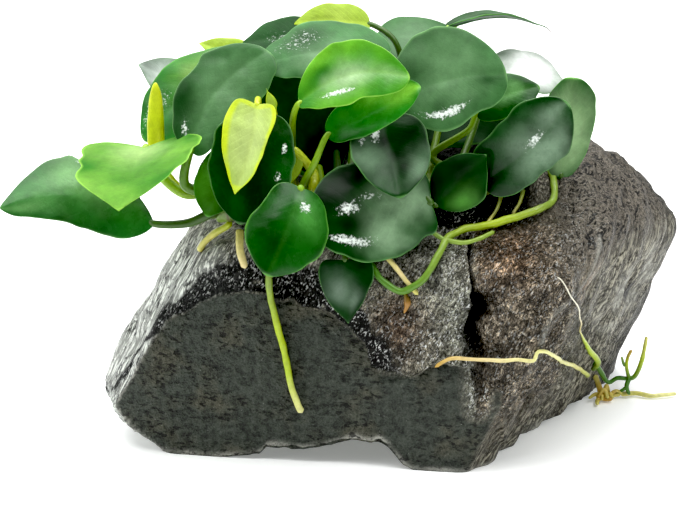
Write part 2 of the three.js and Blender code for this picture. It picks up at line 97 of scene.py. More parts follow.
add_panel("panel_above", (-0.05, 0.08, 0.75), 0.95, 15)
add_panel("panel_back", (-0.2, 0.85, 0.35), 0.9, 4)
add_panel("panel_left", (-0.75, -0.2, 0.4), 0.4, 2)
add_panel("panel_small", (0.3, -0.24, 0.6), 0.1, 1.1)

world = bpy.data.worlds.new("room")
world.use_nodes = True
background = world.node_tree.nodes["Background"]
background.inputs["Color"].default_value = (0.97, 0.99, 1, 1)
background.inputs["Strength"].default_value = 0.2
bpy.context.scene.world = world

view = bpy.context.scene.view_settings
view.view_transform = "Standard"
view.use_curve_mapping = True
view.curve_mapping.black_level = (0.014, 0.014, 0.014)

# %% [markdown]
# ## Shader maths as plain expressions
#
# A procedural material is a small sum: noise times a mask, a ramp of that, one colour mixed
# into another. A class that wraps a node's output and gives it +, - and * lets the sum be
# written as one, and each sign adds its Math node. One more method adds any other node.

# %% Wrap a socket
class Wire:
    """The output of a node, which plain arithmetic turns into more nodes."""

    def __init__(self, paint, socket):
        self.paint = paint
        self.socket = socket

    def maths(self, operation, first, second=0.5):
        return self.paint.node("ShaderNodeMath", {"operation": operation}, {0: first, 1: second})

    def __add__(self, other):
        return self.maths("ADD", self, other)

    def __mul__(self, other):
        return self.maths("MULTIPLY", self, other)

    def __sub__(self, other):
        return self.maths("SUBTRACT", self, other)

    def __rsub__(self, other):
        return self.maths("SUBTRACT", other, self)

    __radd__ = __add__
    __rmul__ = __mul__

    def size(self):
        return self.maths("ABSOLUTE", self)

    def fraction(self):
        return self.maths("FRACT", self)

    def step(self, low, high):
        """0 below low, 1 above high, and a smooth rise between; low may be the larger one."""
        return self.paint.node(
            "ShaderNodeMapRange", {"interpolation_type": "SMOOTHSTEP"},
            {"Value": self, "From Min": low, "From Max": high}, "Result")


# %% Wrap a material
class Paint:
    """A material whose nodes are added by expressions."""

    def __init__(self, name):
        self.material = bpy.data.materials.new(name)
        self.material.use_nodes = True
        self.tree = self.material.node_tree
        self.shader = self.tree.nodes["Principled BSDF"]

    def set_sockets(self, node, values):
        for key, value in values.items():
            if isinstance(value, Wire):
                self.tree.links.new(value.socket, node.inputs[key])
            elif isinstance(value, tuple) and node.inputs[key].type == "RGBA":
                node.inputs[key].default_value = (*value, 1)
            else:
                node.inputs[key].default_value = value

    def node(self, kind, settings, values, output=0):
        """Adds a node: its settings first, then its sockets, and hands back one output."""
        added = self.tree.nodes.new(kind)
        for key, value in settings.items():
            setattr(added, key, value)
        self.set_sockets(added, values)
        return Wire(self, added.outputs[output])

    def place(self):
        return self.node("ShaderNodeTexCoord", {}, {}, "Object")

    def attribute(self, name, output="Fac"):
        return self.node("ShaderNodeAttribute", {"attribute_name": name}, {}, output)

    def noise(self, vector, size_mm, detail=3, roughness=0.55, swirl=0):
        """Cloudy noise between 0 and 1, whose clouds are about size_mm across.

        Swirl bends the clouds into curls."""
        return self.node(
            "ShaderNodeTexNoise", {},
            {"Vector": vector, "Scale": 1 / (size_mm * MM), "Detail": detail,
             "Roughness": roughness, "Distortion": swirl})

    def shake(self, vector, size_mm, reach_mm):
        """The place pushed about by noise, so that straight patterns read there wander."""
        push = self.node(
            "ShaderNodeTexNoise", {}, {"Vector": vector, "Scale": 1 / (size_mm * MM)}, 1)
        return self.node("ShaderNodeVectorMath", {"operation": "MULTIPLY_ADD"},
                         {0: push, 1: (2 * reach_mm * MM,) * 3, 2: vector})

    def creases(self, vector, size_mm):
        """0 on the borders between cells of about size_mm, rising to the middle of each."""
        return self.node("ShaderNodeTexVoronoi", {"feature": "DISTANCE_TO_EDGE"},
                         {"Vector": vector, "Scale": 1 / (size_mm * MM)})

    def mix(self, share, first, second):
        """The first colour where share is 0, the second where it is 1."""
        kinds = {"data_type": "RGBA", "blend_type": "MIX"}
        return self.node("ShaderNodeMix", kinds, {0: share, 6: first, 7: second}, 2)

    def shade(self, colour, amount):
        """A colour made darker or lighter: every channel times the amount."""
        return self.node(
            "ShaderNodeVectorMath", {"operation": "SCALE"}, {0: colour, "Scale": amount})

    def bump(self, height, depth_mm, strength=1.0):
        return self.node(
            "ShaderNodeBump", {},
            {"Height": height, "Distance": depth_mm * MM, "Strength": strength})

    def finish(self, values):
        self.set_sockets(self.shader, values)
        print("material", self.material.name, "has", len(self.tree.nodes), "nodes")
        return self.material


# %% Lay the floor
FLOOR_HALF = 4.0

floor_paint = Paint("white_paper")
floor_grain = floor_paint.noise(floor_paint.place(), 2.0)
floor_material = floor_paint.finish({
    "Base Color": floor_paint.mix(floor_grain, (0.88, 0.89, 0.89), (0.92, 0.92, 0.92)),
    "Emission Color": (0.96, 1, 0.98), "Emission Strength": 0.22, "Roughness": 0.9})
floor_mesh = bpy.data.meshes.new("floor")
floor_mesh.from_pydata(
    [(-FLOOR_HALF, -FLOOR_HALF, 0), (FLOOR_HALF, -FLOOR_HALF, 0), (FLOOR_HALF, FLOOR_HALF, 0),
     (-FLOOR_HALF, FLOOR_HALF, 0)], [], [(0, 1, 2, 3)])
floor_mesh.materials.append(floor_material)
floor = bpy.data.objects.new("floor", floor_mesh)
bpy.context.scene.collection.objects.link(floor)

# %% [markdown]
# ## Grids, closed skins and noise
#
# Everything here is a closed skin around a line: rings of points from one end to the other,
# closed by a single point at each end. The wood is such a skin around its height, a leaf
# blade is a very flat one around its midrib, and a root is a thin one around its path. So
# one function turns rings into faces, and each piece only says where its rings run.

# %% Faces of a closed skin
def skin_faces(rings, around):
    """Quads between neighbouring rings, and triangles from each end's point to the end ring.

    The points are counted ring by ring, then the start point, then the end point. Each ring
    turns to the left about the direction from start to end, so the faces look outwards."""
    one = np.arange(around)
    two = (one + 1) % around
    row = around * np.arange(rings - 1)[:, None]
    quads = np.stack([one + row, two + row, two + row + around, one + row + around], axis=-1)
    start = np.full(around, rings * around)
    first = np.stack([start, two, one], axis=-1)
    shift = (rings - 1) * around
    last = np.stack([start + 1, one + shift, two + shift], axis=-1)
    return quads.reshape(-1, 4).tolist() + first.tolist() + last.tolist()


# %% Noise for shapes
NOISE_VALUES = 4096
NOISE_STRIDES = (73856093, 19349663, 83492791)


def cloud(points, size, seed):
    """Smooth noise between -1 and 1 that changes over about size millimetres.

    Space is cut into cells of that size, each corner has a random value, and a point blends
    its cell's eight corners with the weights 3 t squared - 2 t cubed."""
    values = np.random.default_rng(seed).uniform(-1, 1, NOISE_VALUES)
    cells = np.floor(points / size).astype(np.int64)
    t = points / size - cells
    t = t * t * (3 - 2 * t)
    total = np.zeros(points.shape[:-1])
    for corner in itertools.product((0, 1), repeat=3):
        x, y, z = np.moveaxis((cells + np.array(corner)) * NOISE_STRIDES, -1, 0)
        pick = (x ^ y ^ z) % NOISE_VALUES
        total += np.prod(np.where(np.array(corner) == 1, t, 1 - t), axis=-1) * values[pick]
    return total


def clouds(points, size, seed, layers=3):
    """Layers of noise, each half the size and half the height of the one before."""
    return sum(cloud(points, size / 2 ** k, seed + k) / 2 ** k for k in range(layers))


def smooth_step(values, low, high):
    """0 at low, 1 at high and 3 t squared - 2 t cubed between."""
    t = np.clip((values - low) / (high - low), 0, 1)
    return t * t * (3 - 2 * t)


def bell(values, middle, width):
    """A bell curve: 1 at the middle, and e to the -1 a width away from it."""
    return np.exp(-((values - middle) / width) ** 2)


def window(values, low, rise, high, fall):
    """Rises from 0 at low to 1 within rise, and falls from 1 at high to 0 within fall."""
    return smooth_step(values, low, low + rise) * (1 - smooth_step(values, high, high + fall))


def unit(vectors):
    return vectors / np.linalg.norm(vectors, axis=-1, keepdims=True)


def step_lengths(path):
    return np.linalg.norm(np.diff(path, axis=0), axis=1)


def blend(share, first, second):
    """The first colour or number where share is 0, the second where it is 1."""
    share = np.asarray(share)[..., None]
    return (1 - share) * np.asarray(first, float) + share * np.asarray(second, float)


# %% Put skins into one mesh
def add_piece(name, skins, materials):
    """Joins skins into one mesh object whose points are in millimetres.

    A skin is a dictionary: its points and faces, the number of its material, its colour at
    each point (tint), and any further numbers at each point under their own names."""
    points = np.concatenate([skin["points"] for skin in skins])
    faces = []
    shift = 0
    for skin in skins:
        faces += [[corner + shift for corner in face] for face in skin["faces"]]
        shift += len(skin["points"])
    mesh = bpy.data.meshes.new(name)
    mesh.from_pydata((points * MM).tolist(), [], faces)
    mesh.polygons.foreach_set("use_smooth", np.ones(len(faces), bool))
    counts = [len(skin["faces"]) for skin in skins]
    numbers = np.repeat([skin.get("material", 0) for skin in skins], counts)
    mesh.polygons.foreach_set("material_index", numbers.astype(np.int32))
    for material in materials:
        mesh.materials.append(material)
    keys = [key for key in skins[0] if key not in ("points", "faces", "material")]
    for key in keys:
        values = np.concatenate([np.asarray(skin[key], float) for skin in skins])
        if values.ndim == 2:
            layer = mesh.color_attributes.new(key, "FLOAT_COLOR", "POINT")
            opaque = np.ones((len(values), 1))
            layer.data.foreach_set("color", np.concatenate([values, opaque], axis=1).ravel())
        else:
            mesh.attributes.new(key, "FLOAT", "POINT").data.foreach_set("value", values)
    mesh.update()
    piece = bpy.data.objects.new(name, mesh)
    bpy.context.scene.collection.objects.link(piece)
    return piece


def settle(piece, node):
    """The piece stands for the plain solid of that name, which it hides, and hangs from the root
    body.
    """
    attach(piece, "root")
    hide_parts(node)

# %% [markdown]
# ## The block of wood
#
# The wood is one block: a smooth sawn face at the front, and natural surface with long
# fibres everywhere else. It is a skin around its centre. For each direction a formula says
# how far away the surface is, and everything else adds to that distance or takes from it:
# the fibres, the deep crack between its two lobes, and the low arch under its front edge.

# %% The block's driving sizes, in millimetres
WOOD_CENTRE = np.array([12.0, 4.0, 26.0])
WOOD_SHARPNESS = 22
LEFT_SHARPNESS = 60
WOOD_FACES = {
    "sawn_front": ((-0.17, -0.985, 0.02), 28.2),
    "front_top": ((0.02, -0.6, 0.8), 29),
    "left_under": ((-0.64, -0.05, -0.77), 51),
    "left_slope": ((-0.85, -0.22, 0.48), 44.4),
    "left_back": ((-0.72, 0.55, 0.42), 34.5),
    "left_top": ((-0.42, -0.1, 0.9), 32.6),
    "top": ((-0.09, -0.1, 0.99), 27.4),
    "right": ((0.79, -0.5, -0.35), 35.3),
    "right_top": ((0.74, -0.1, 0.66), 48.6),
    "far_right": ((0.86, 0.5, -0.05), 56.4),
    "back": ((-0.05, 0.99, 0.08), 31),
    "back_top": ((0.05, 0.7, 0.71), 30),
    "underside": ((0, 0, -1), 30),
}
SAWN_SHARE = 0.25
SWELLINGS = [
    ((17, -24, 30), 11, 2.6), ((36, -22, 32), 12, 2.2), ((58, 12, 34), 14, 1.6),
    ((-20, 30, 26), 16, 2.4), ((24, 36, 30), 15, 2), ((44, 34, 14), 13, -2.6),
    ((2, 36, 12), 9, -2.4), ((60, -2, 48), 8, -1.6),
]
RIDGE_HEIGHT = 0.55
RIDGE_SPACING = 9
RIDGE_ACROSS = np.array([0.8, 0.55, -0.45])


# %% The plain block
def block_reach(directions):
    """How far the plain block reaches in each direction, and how natural its surface is there.

    Each face pulls with its cosine over its distance, to a high power. The reach is the sum of
    the pulls to minus one over that power, and swellings and long ridges are added to it. The
    power is higher at the front left, where the saw left a sharp edge."""
    outs = unit(np.array([out for out, distance in WOOD_FACES.values()], float))
    distances = np.array([distance for out, distance in WOOD_FACES.values()])
    front_left = (smooth_step(-directions[..., 0], 0.15, 0.5)
                  * smooth_step(-directions[..., 1], 0, 0.3))
    power = WOOD_SHARPNESS + (LEFT_SHARPNESS - WOOD_SHARPNESS) * front_left
    pulls = (np.maximum(0, directions @ outs.T) / distances) ** power[..., None]
    total = pulls.sum(axis=-1)
    reach = total ** (-1 / power)
    natural = 1 - pulls[..., 0] / total
    points = WOOD_CENTRE + directions * reach[..., None]
    for place, width, height in SWELLINGS:
        away = np.linalg.norm(points - np.array(place), axis=-1)
        reach = reach + height * bell(away, 0, width) * np.maximum(natural, SAWN_SHARE)
    wave = 2 * np.pi * (points @ RIDGE_ACROSS) / RIDGE_SPACING
    return reach + RIDGE_HEIGHT * np.sin(wave) * natural, natural


def on_wood(points, lift):
    """The places on the plain block that face the given points, lifted off it."""
    directions = unit(points - WOOD_CENTRE)
    reach, natural = block_reach(directions)
    down = np.maximum(-directions[..., 2], 1e-6)
    reach = np.minimum(reach, WOOD_CENTRE[2] / down)
    return WOOD_CENTRE + directions * (reach + lift)[..., None]


# %% Where the block's marks run, seen from the front
SAWN_EDGE_X = [-46, -43.7, -38, -32.6, -25.8, -22.8, -19, -14.8, -10.4, -5.6, -0.9, 2.4, 5,
               6.2, 11.5, 15.3, 16.8, 19, 24.8, 30.5, 32]
SAWN_EDGE_Z = [9, 12, 21.5, 28, 32, 33.6, 34.4, 34.3, 33.4, 32.1, 30.4, 28.2, 25,
               20.4, 19.6, 19.8, 21.6, 22.5, 21.2, 17, -2]
CRACK_LINE = [(24.9, 45), (25, 40.8), (25.7, 38.1), (26, 36.8), (27.6, 35.3), (28.2, 33.5),
              (27, 32.3), (25.9, 30.2), (26.1, 27.1), (26.6, 23.9), (26.6, 18.4), (26.5, 14)]
CRACK_HEIGHTS = [13, 17, 20.5, 23.5, 26, 29, 31, 33.5, 36, 37.2, 40, 46]
CRACK_HALF_WIDTHS = [0.7, 1.2, 1.6, 3.2, 2.6, 1.7, 1.4, 1.9, 1.3, 0.65, 0.5, 0.45]
CRACK_DEPTHS = [0.2, 0.7, 1.4, 2.4, 3, 3.6, 4.4, 5, 3.6, 2.6, 2.2, 1.6]
SEAM_LINE = [(49.3, 44.4), (49, 42.9), (48.2, 41.2), (47.4, 38.5), (46, 36.6), (43.7, 36),
             (41.2, 34.4), (39.4, 30.3), (38, 27)]
HOLLOW = np.array([47.6, -19.0, 34.6])
HOLLOW_SIZES = [2.6, 8, 5]
ARCH_X = [-23, -19, -15.6, -14.2, -7, -3, 2, 7.6, 9.4, 12.6, 14]
ARCH_HEIGHT = [0, 0.7, 1.5, 3.2, 3, 4.2, 5.6, 5.8, 4.6, 1, 0]
ARCH_FRONT = -25
ARCH_DEPTH = 16
BAND_X = [-37, -31, -23, 0, 9, 13]
BAND_HEIGHT = [0.8, 3, 7, 9, 7, 2]
DARK_SPOTS = [((52.1, 2.1, 17.7), (0.9, 0.9, 1.6)), ((56.8, -3.8, 47.4), (3.2, 3.2, 1.3)),
              ((59.4, 7, 25.4), (1.7, 4, 4)), ((50.2, -12, 45.5), (0.5, 1, 2.4))]
GRAIN = unit(np.array([0.45, 0.25, 0.86]))
RIGHT_GRAIN = unit(np.array([0.16, 0.12, 0.98]))
GRAIN_PIVOT = np.array([38.0, -22.0, 30.0])
GRAIN_STRETCH = 8
RIGHT_STRETCH = 15
LUMP_HEIGHT = 0.8
THREAD_HEIGHT = 0.34
FIBRE_HEIGHT = 0.24
WRINKLE_HEIGHT = 0.5
OVERHANG_HEIGHT = 1.3
SEAM_HEIGHT = 0.5
HOLLOW_DEPTH = 1.3
SPOT_DEPTH = 1.2


def line_distance(places, line):
    """How far each place is from a line through the given places."""
    nearest = np.full(len(places), np.inf)
    for start, end in zip(np.array(line[:-1], float), np.array(line[1:], float)):
        step = end - start
        share = np.clip((places - start) @ step / (step @ step), 0, 1)
        away = places - start - share[:, None] * step
        nearest = np.minimum(nearest, np.linalg.norm(away, axis=1))
    return nearest


# %% Carve the block
def press_together(points, grain, stretch):
    """The points pressed together along the grain, so that noise read there is drawn out."""
    away = points - GRAIN_PIVOT
    return away - np.outer(away @ grain, grain) * (1 - 1 / stretch)


def carve_wood(directions):
    """The wood's surface in each direction, and the masks that its finish follows.

    Along the grain the noise is stretched, which turns clouds into fibres, and its size below
    zero gives sharp dark gaps between round threads. The sawn face has only shallow waves, and
    natural surface overhangs its middle. The crack is a steep-walled groove in a shallow
    valley, and its width and depth change with height. Last, whatever is below the floor or
    below the arch's roof is raised."""
    reach, natural = block_reach(directions)
    plain = WOOD_CENTRE + directions * reach[:, None]
    x, y, z = plain.T
    front = smooth_step(-y, 0, 8)
    edge = np.interp(x, SAWN_EDGE_X, SAWN_EDGE_Z) + 0.8 * clouds(plain, 3, 11, 2)
    flat = smooth_step(1 - natural, 0.25, 0.6)
    crack_away = line_distance(np.stack([x + 0.5 * cloud(plain, 2.2, 61), z], axis=1), CRACK_LINE)
    sawn = flat * smooth_step(edge - z, -0.3, 0.6) * smooth_step(crack_away, 1.5, 4.5)
    rough = 1 - sawn
    wet = front * window(x, -8, 12, 41, 12) * window(z, 2, 14, 44, 10) * rough
    left = smooth_step(-x, 14, 24) * rough
    right = smooth_step(x, 34, 46) * rough

    turned = smooth_step(x, 26, 48)[:, None]
    grain_place = ((1 - turned) * press_together(plain, GRAIN, GRAIN_STRETCH)
                   + turned * press_together(plain, RIGHT_GRAIN, RIGHT_STRETCH))
    threads = 1 - 2 * np.abs(clouds(grain_place, 2.2, 21, 2))
    fibres = clouds(grain_place, 1.3, 25, 2)
    lumps = clouds(plain, 10, 31)
    wrinkles = 1 - 2 * np.abs(clouds(plain + 0.8 * lumps[:, None], 3.2, 41, 3))
    woody = 0.35 + 0.65 * np.maximum(left, right)
    grooves = woody * (THREAD_HEIGHT * threads + FIBRE_HEIGHT * fibres)
    reach = reach + rough * (LUMP_HEIGHT * lumps + grooves + WRINKLE_HEIGHT * wet * wrinkles)
    chipped = bell(edge - z, 0, 2.5) * (clouds(plain, 2, 55, 2) > 0.35)
    reach = reach + sawn * (0.12 * clouds(plain, 3.5, 51) - 0.5 * chipped)
    above = front * window(x, 1, 6, 28, 6) * smooth_step(z - edge, 0, 1.2)
    reach = reach + OVERHANG_HEIGHT * above * np.exp(-np.abs(z - edge) / 7)

    half = np.interp(z, CRACK_HEIGHTS, CRACK_HALF_WIDTHS)
    depth = np.interp(z, CRACK_HEIGHTS, CRACK_DEPTHS)
    crack = front * np.exp(-(crack_away / half) ** 4)
    valley = front * bell(crack_away, 0, 5)
    reach = reach - depth * crack - 0.35 * depth * valley
    seam = front * bell(line_distance(np.stack([x, z], axis=1), SEAM_LINE), 0, 0.4)
    hollow = bell(np.linalg.norm((plain - HOLLOW) / HOLLOW_SIZES, axis=1), 0, 1)
    reach = reach + SEAM_HEIGHT * seam - HOLLOW_DEPTH * hollow
    spots = sum(bell(np.linalg.norm((plain - np.array(place)) / sizes, axis=1), 0, 1)
                for place, sizes in DARK_SPOTS)
    reach = reach - SPOT_DEPTH * spots

    points = WOOD_CENTRE + directions * reach[:, None]
    inward = np.clip((points[:, 1] - ARCH_FRONT) / ARCH_DEPTH, 0, 1)
    roof = np.interp(points[:, 0], ARCH_X, ARCH_HEIGHT) * np.sqrt(1 - inward ** 2)
    roof = roof + 0.5 * smooth_step(roof, 0, 1.5) * clouds(points, 3, 71, 2)
    lip = front * bell(points[:, 2] - roof, 0.35, 0.5) * (0.5 + 0.5 * cloud(points, 2, 73))
    points[:, 2] = np.maximum(points[:, 2], np.maximum(roof, 0))
    over = z - edge
    # The band just above the sawn edge on the front gets painted shade of the leaves, and a few
    # painted glints.
    band = (smooth_step(over, -0.4, 0.2) * smooth_step(-x, -14, -7)
            * (1 - smooth_step(over / np.interp(x, BAND_X, BAND_HEIGHT), 0.5, 1.3))
            * smooth_step(clouds(plain, 2.6, 91, 2), -1.1, -0.3))
    # The wood's top under the leaves gets painted shade of the leaves.
    under_leaves = smooth_step(z, 44, 49) * smooth_step(-y, -16, -8) * window(x, -25, 6, 33, 7)
    masks = {
        "sawn": sawn, "wet": wet,
        # The left slope's pale grey is partly wood and partly a painted sheen of the light behind.
        # It fades towards the back and the top.
        "left": left * (1 - 0.85 * smooth_step(y, 2, 18)) * (1 - 0.7 * smooth_step(z, 34, 45)),
        "right": right, "back": smooth_step(y, 6, 22), "fibre": grain_place * MM,
        # The dark mask is painted shade: in the crack, in the pits, under the overhang's lower
        # edge and in a line just above the sawn edge.
        "dark": (crack * np.interp(z, [13, 17, 25, 31], [0.3, 0.6, 0.7, 1]) + spots
                 + 0.9 * above * bell(z, edge, 0.7)
                 + 0.55 * front * bell(z, edge + 0.3, 1.2) * window(x, -36, 6, 4, 8)),
        "leather": front * window(x, 25, 2, 41, 7) * rough,
        "crown": right * smooth_step(z, 36, 44),
        "brown": front * bell(x, 11, 6.5) * bell(z, 29, 9) * rough,
        "warm": (front * bell(x, 32, 6) + bell(x, 52, 6)) * bell(z, 43, 5) + hollow,
        # The spark mask says where painted glints gather: on the wet lobes, along the crack's left
        # edge, in the shaded band and at two spots lower down.
        "spark": (0.35 * wet + 1.2 * bell(crack_away, 1.4, 3) * (x < 26) + 0.5 * band
                  + bell(x, 18, 3) * bell(z, 24, 4) + bell(x, 27, 3) * bell(z, 15, 4)),
        "soot": front * band + under_leaves,
        # The pale mask is painted reflected light: rims at the left edge, along the lip over the
        # arch, at the far right and along the low right edge, and a painted highlight on the
        # seam's ridge.
        "pale": (0.6 * seam + 3 * flat * (1 - flat) * smooth_step(-x, 36, 42) + lip
                 + 0.8 * smooth_step(directions[:, 0], 0.97, 0.995)
                 * smooth_step(cloud(plain, 3, 81), -0.2, 0.3)
                 + front * smooth_step(x, 34, 44) * (1 - smooth_step(z, 0.8, 2.6)))}
    for name in ("dark", "warm", "spark", "soot", "pale"):
        masks[name] = np.clip(masks[name], 0, 1)
    for name in ("spark", "soot"):
        masks[name] = masks[name] * rough
    return points, masks


# %% Spread the rings and their points evenly over the block
WOOD_TURNS = 450
WOOD_RINGS = 214
FRONT_DENSITY = 1.7
FINE_STEPS = 4001


def even_angles(angles, points, density, count, closed):
    """Angles whose points lie evenly along a curve, closer together where density is high."""
    steps = step_lengths(points) * (density[1:] + density[:-1]) / 2
    travelled = np.concatenate([[0], np.cumsum(steps)])
    shares = np.arange(count) / count if closed else (np.arange(count) + 1) / (count + 1)
    return np.interp(shares * travelled[-1], travelled, angles)


def plain_points(turns, rises):
    """Directions turned about the height axis and raised from level, and the wood there."""
    directions = np.stack(
        [np.cos(rises) * np.cos(turns), np.cos(rises) * np.sin(turns), np.sin(rises)], axis=-1)
    return directions, on_wood(WOOD_CENTRE + directions, 0 * turns)


fine_turns = np.linspace(0, 2 * np.pi, FINE_STEPS)
outline = plain_points(fine_turns, 0 * fine_turns)[1]
front_weight = np.where(outline[:, 1] < 0, FRONT_DENSITY, 1)
turns = even_angles(fine_turns, outline, front_weight, WOOD_TURNS, True)

fine_rises = np.linspace(-np.pi / 2, np.pi / 2, FINE_STEPS)
section = plain_points(np.full(FINE_STEPS, -np.pi / 2), fine_rises)[1]
section_weight = np.where(section[:, 2] > 0.1, FRONT_DENSITY, 1)
rises = even_angles(fine_rises, section, section_weight, WOOD_RINGS, False)

turn_grid, rise_grid = np.meshgrid(turns, rises)
directions = plain_points(turn_grid.ravel(), rise_grid.ravel())[0]
poles = np.array([[0, 0, -1], [0, 0, 1]], float)
wood_points, wood_masks = carve_wood(np.concatenate([directions, poles]))
print("wood:", len(wood_points), "points, box", wood_points.min(0).round(1),
      wood_points.max(0).round(1))

# %% [markdown]
# ## The wood's finish
#
# Wet wood is dark: charcoal on the sawn face, brown on the natural lobes, and grey fibres
# with dark gaps on the left slope, whose pale grey is partly wood and partly a painted sheen
# of the light behind. The fibres read noise at the pressed-together places that the shape
# used too. The lobes' wrinkles read it in a frame turned to the grain, by a Mapping node of
# the texture kind. A thin line runs wherever noise crosses its middle value, so its distance
# from one half draws the gaps. The shape's masks say which finish goes where, and where
# painted shade, painted rims of reflected light and painted glints go.

# %% Paint the wood
def paint_wood():
    """Mixes fibres, lobes, crown and sawn face by the shape's masks, then paints shade into
    the crack, the pits and along the sawn edge.
    """
    paint = Paint("wet_driftwood")
    mark, noise, mix, shade = paint.attribute, paint.noise, paint.mix, paint.shade
    place = paint.place()
    grain_turn = Vector((0, 0, 1)).rotation_difference(Vector(GRAIN)).to_euler()
    grain = mark("fibre", "Vector")
    level = paint.node("ShaderNodeMapping", {"vector_type": "TEXTURE"},
                       {"Vector": place, "Scale": (2, 2, 1)})
    crumple = paint.node("ShaderNodeMapping", {"vector_type": "TEXTURE"},
                         {"Vector": place, "Rotation": grain_turn, "Scale": (1, 1, 2.2)})
    sawn = mark("sawn")
    wet = mark("wet")
    leather = mark("leather")
    soot = mark("soot")
    woody = mark("left") + mark("right")

    gaps = (noise(grain, 0.75, 4, 0.65) - 0.5).size().step(0.0, 0.07)
    strands = noise(grain, 0.42, 3, 0.6)
    wrinkles = (noise(crumple, 1.25, 3, 0.6, 0.7) - 0.5).size().step(0.0, 0.07)
    folds = (noise(crumple, 0.8, 3, 0.6, 0.4) - 0.5).size().step(0.0, 0.06)
    cracks = paint.creases(paint.shake(crumple, 1.6, 0.9), 1.3).step(0.0, 0.1)
    crumbs = noise(place, 0.36, 3, 0.7)
    patches = noise(place, 8.0, 3)
    tone = noise(place, 4.5, 4, 0.6)
    chips = noise(place, 1.6, 4, 0.65)
    strokes = noise(crumple, 1.1, 3, 0.6, 1.5)
    skin = 1 - (1 - wrinkles) * 0.7
    skin = skin * (1 - (1 - folds) * (0.3 + 0.5 * leather)) * (1 - (1 - cracks) * 0.45 * leather)
    relief = paint.node("ShaderNodeMix", {"data_type": "FLOAT"}, {0: wet, 2: gaps, 3: skin})
    relief = relief * (1 - 0.7 * mark("crown"))

    # The left slope: dark gaps between the fibres, and a pale grey that is partly wood and partly
    # painted sheen.
    sheen_share = 1 - (1 - gaps * strands.step(0.32, 0.5)) * (0.45 + 0.55 * tone.step(0.42, 0.6))
    grey = mix(sheen_share, (0.02, 0.021, 0.019), (0.8, 0.83, 0.77))
    tan = mix(gaps * strands.step(0.3, 0.62), (0.05, 0.045, 0.034), (0.42, 0.4, 0.31))
    lobes = mix(leather, (0.19, 0.195, 0.155), (0.22, 0.185, 0.135))
    lobes = mix(mark("warm"), lobes, (0.25, 0.165, 0.1))
    lobes = mix(mark("brown") * 0.85, lobes, (0.11, 0.065, 0.038))
    lobes = shade(lobes, 0.45 + 0.8 * tone.step(0.36, 0.62))
    # The lobes go near black in their creases, which is painted shade, and much lighter along thin
    # lines, which are painted glints.
    glints = (noise(crumple, 1.1, 4, 0.7, 0.9) - 0.5).size().step(0.05, 0.0)
    lobes = shade(mix(skin, (0.005, 0.004, 0.003), lobes),
                  0.25 + 1.1 * crumbs.step(0.35, 0.6) + 3.4 * glints * chips.step(0.35, 0.6))
    natural = mix(wet, shade(tan, 0.6 + 0.8 * tone), lobes)
    crown = mix(crumbs.step(0.3, 0.7), (0.03, 0.026, 0.02), (0.18, 0.16, 0.128))
    crown = shade(crown, 1.35 - 1.3 * strokes.step(0.5, 0.6))
    natural = mix(mark("crown"), natural, crown)
    natural = mix(mark("left"), natural, grey)
    # Small black crevices on the dry natural surface: painted shade.
    natural = shade(natural, 1 - 0.8 * chips.step(0.58, 0.66) * (1 - wet))
    natural = shade(natural, 1 - 0.62 * mark("back"))
    # Painted shade of the leaves: the band and the top under the leaves go almost black.
    natural = shade(natural, 1 - 0.97 * (soot + 0.5 * soot * (chips - 0.5)).step(0.1, 0.7))
    # Painted glints: white specks on the natural surface.
    sparks = noise(crumple, 0.34, 2).step(0.55, 0.63) * chips.step(0.4, 0.56)
    natural = mix(sparks * (0.06 + mark("spark")), natural, (0.85, 0.87, 0.84))
    # Chipped pits in the sawn face: dented by the bump and darkened with painted shade.
    pits = noise(level, 0.75, 3).step(0.55, 0.61) * sawn * patches.step(0.34, 0.58)
    charcoal = mix(patches.step(0.45, 0.7), (0.042, 0.049, 0.039), (0.06, 0.06, 0.042))
    charcoal = shade(
        charcoal, 0.2 + crumbs.step(0.3, 0.7) * 0.8 + chips.step(0.35, 0.62) * 0.75)
    # The light specks on the sawn face are painted glints.
    charcoal = mix(crumbs.step(0.7, 0.76), charcoal, (0.4, 0.4, 0.38))
    colour = mix(sawn, natural, charcoal)
    # Painted rims of reflected light and the seam's painted highlight.
    colour = mix(mark("pale") * crumbs.step(0.25, 0.5), colour, (0.5, 0.5, 0.44))
    colour = shade(colour, 1 - 0.8 * pits)
    # Painted shade in the crack, the pits and along the sawn edge, with a ragged border.
    dark = (mark("dark") + 0.8 * (chips - 0.5) + 0.6 * (crumbs - 0.5)).step(0.3, 0.75)
    colour = shade(colour, 1 - 0.86 * dark)

    height = (relief * (1 - sawn) * (0.9 + 0.6 * leather) + crumbs * (0.5 + 0.5 * wet)
              + chips * sawn * 2.6 - pits)
    return paint.finish({
        "Base Color": colour,
        "Roughness": 0.6 - 0.36 * wet * (1 - sawn) - 0.1 * woody + 0.3 * soot,
        "Specular IOR Level": 0.3,
        "Normal": paint.bump(height, 0.5, 1.0)})


wood_material = paint_wood()
wood_skin = {"points": wood_points, "faces": skin_faces(WOOD_RINGS, WOOD_TURNS), **wood_masks}
wood = add_piece("wood", [wood_skin], [wood_material])
settle(wood, "driftwood")

# %% [markdown]
# ## Paths and tubes
#
# The stem, the stalks and the roots are all tubes along a path. The path is given by a few
# places, and a smooth curve goes through them. Each stretch of it is a cubic, and its slopes
# use the square root of the distance between places, so that close places make no loops.
# Each ring of the tube is square to the path. To keep the rings from twisting, they all
# start from one fixed side: the direction along which the path leans least.

# %% Curve through places
CURVE_STEPS = 61


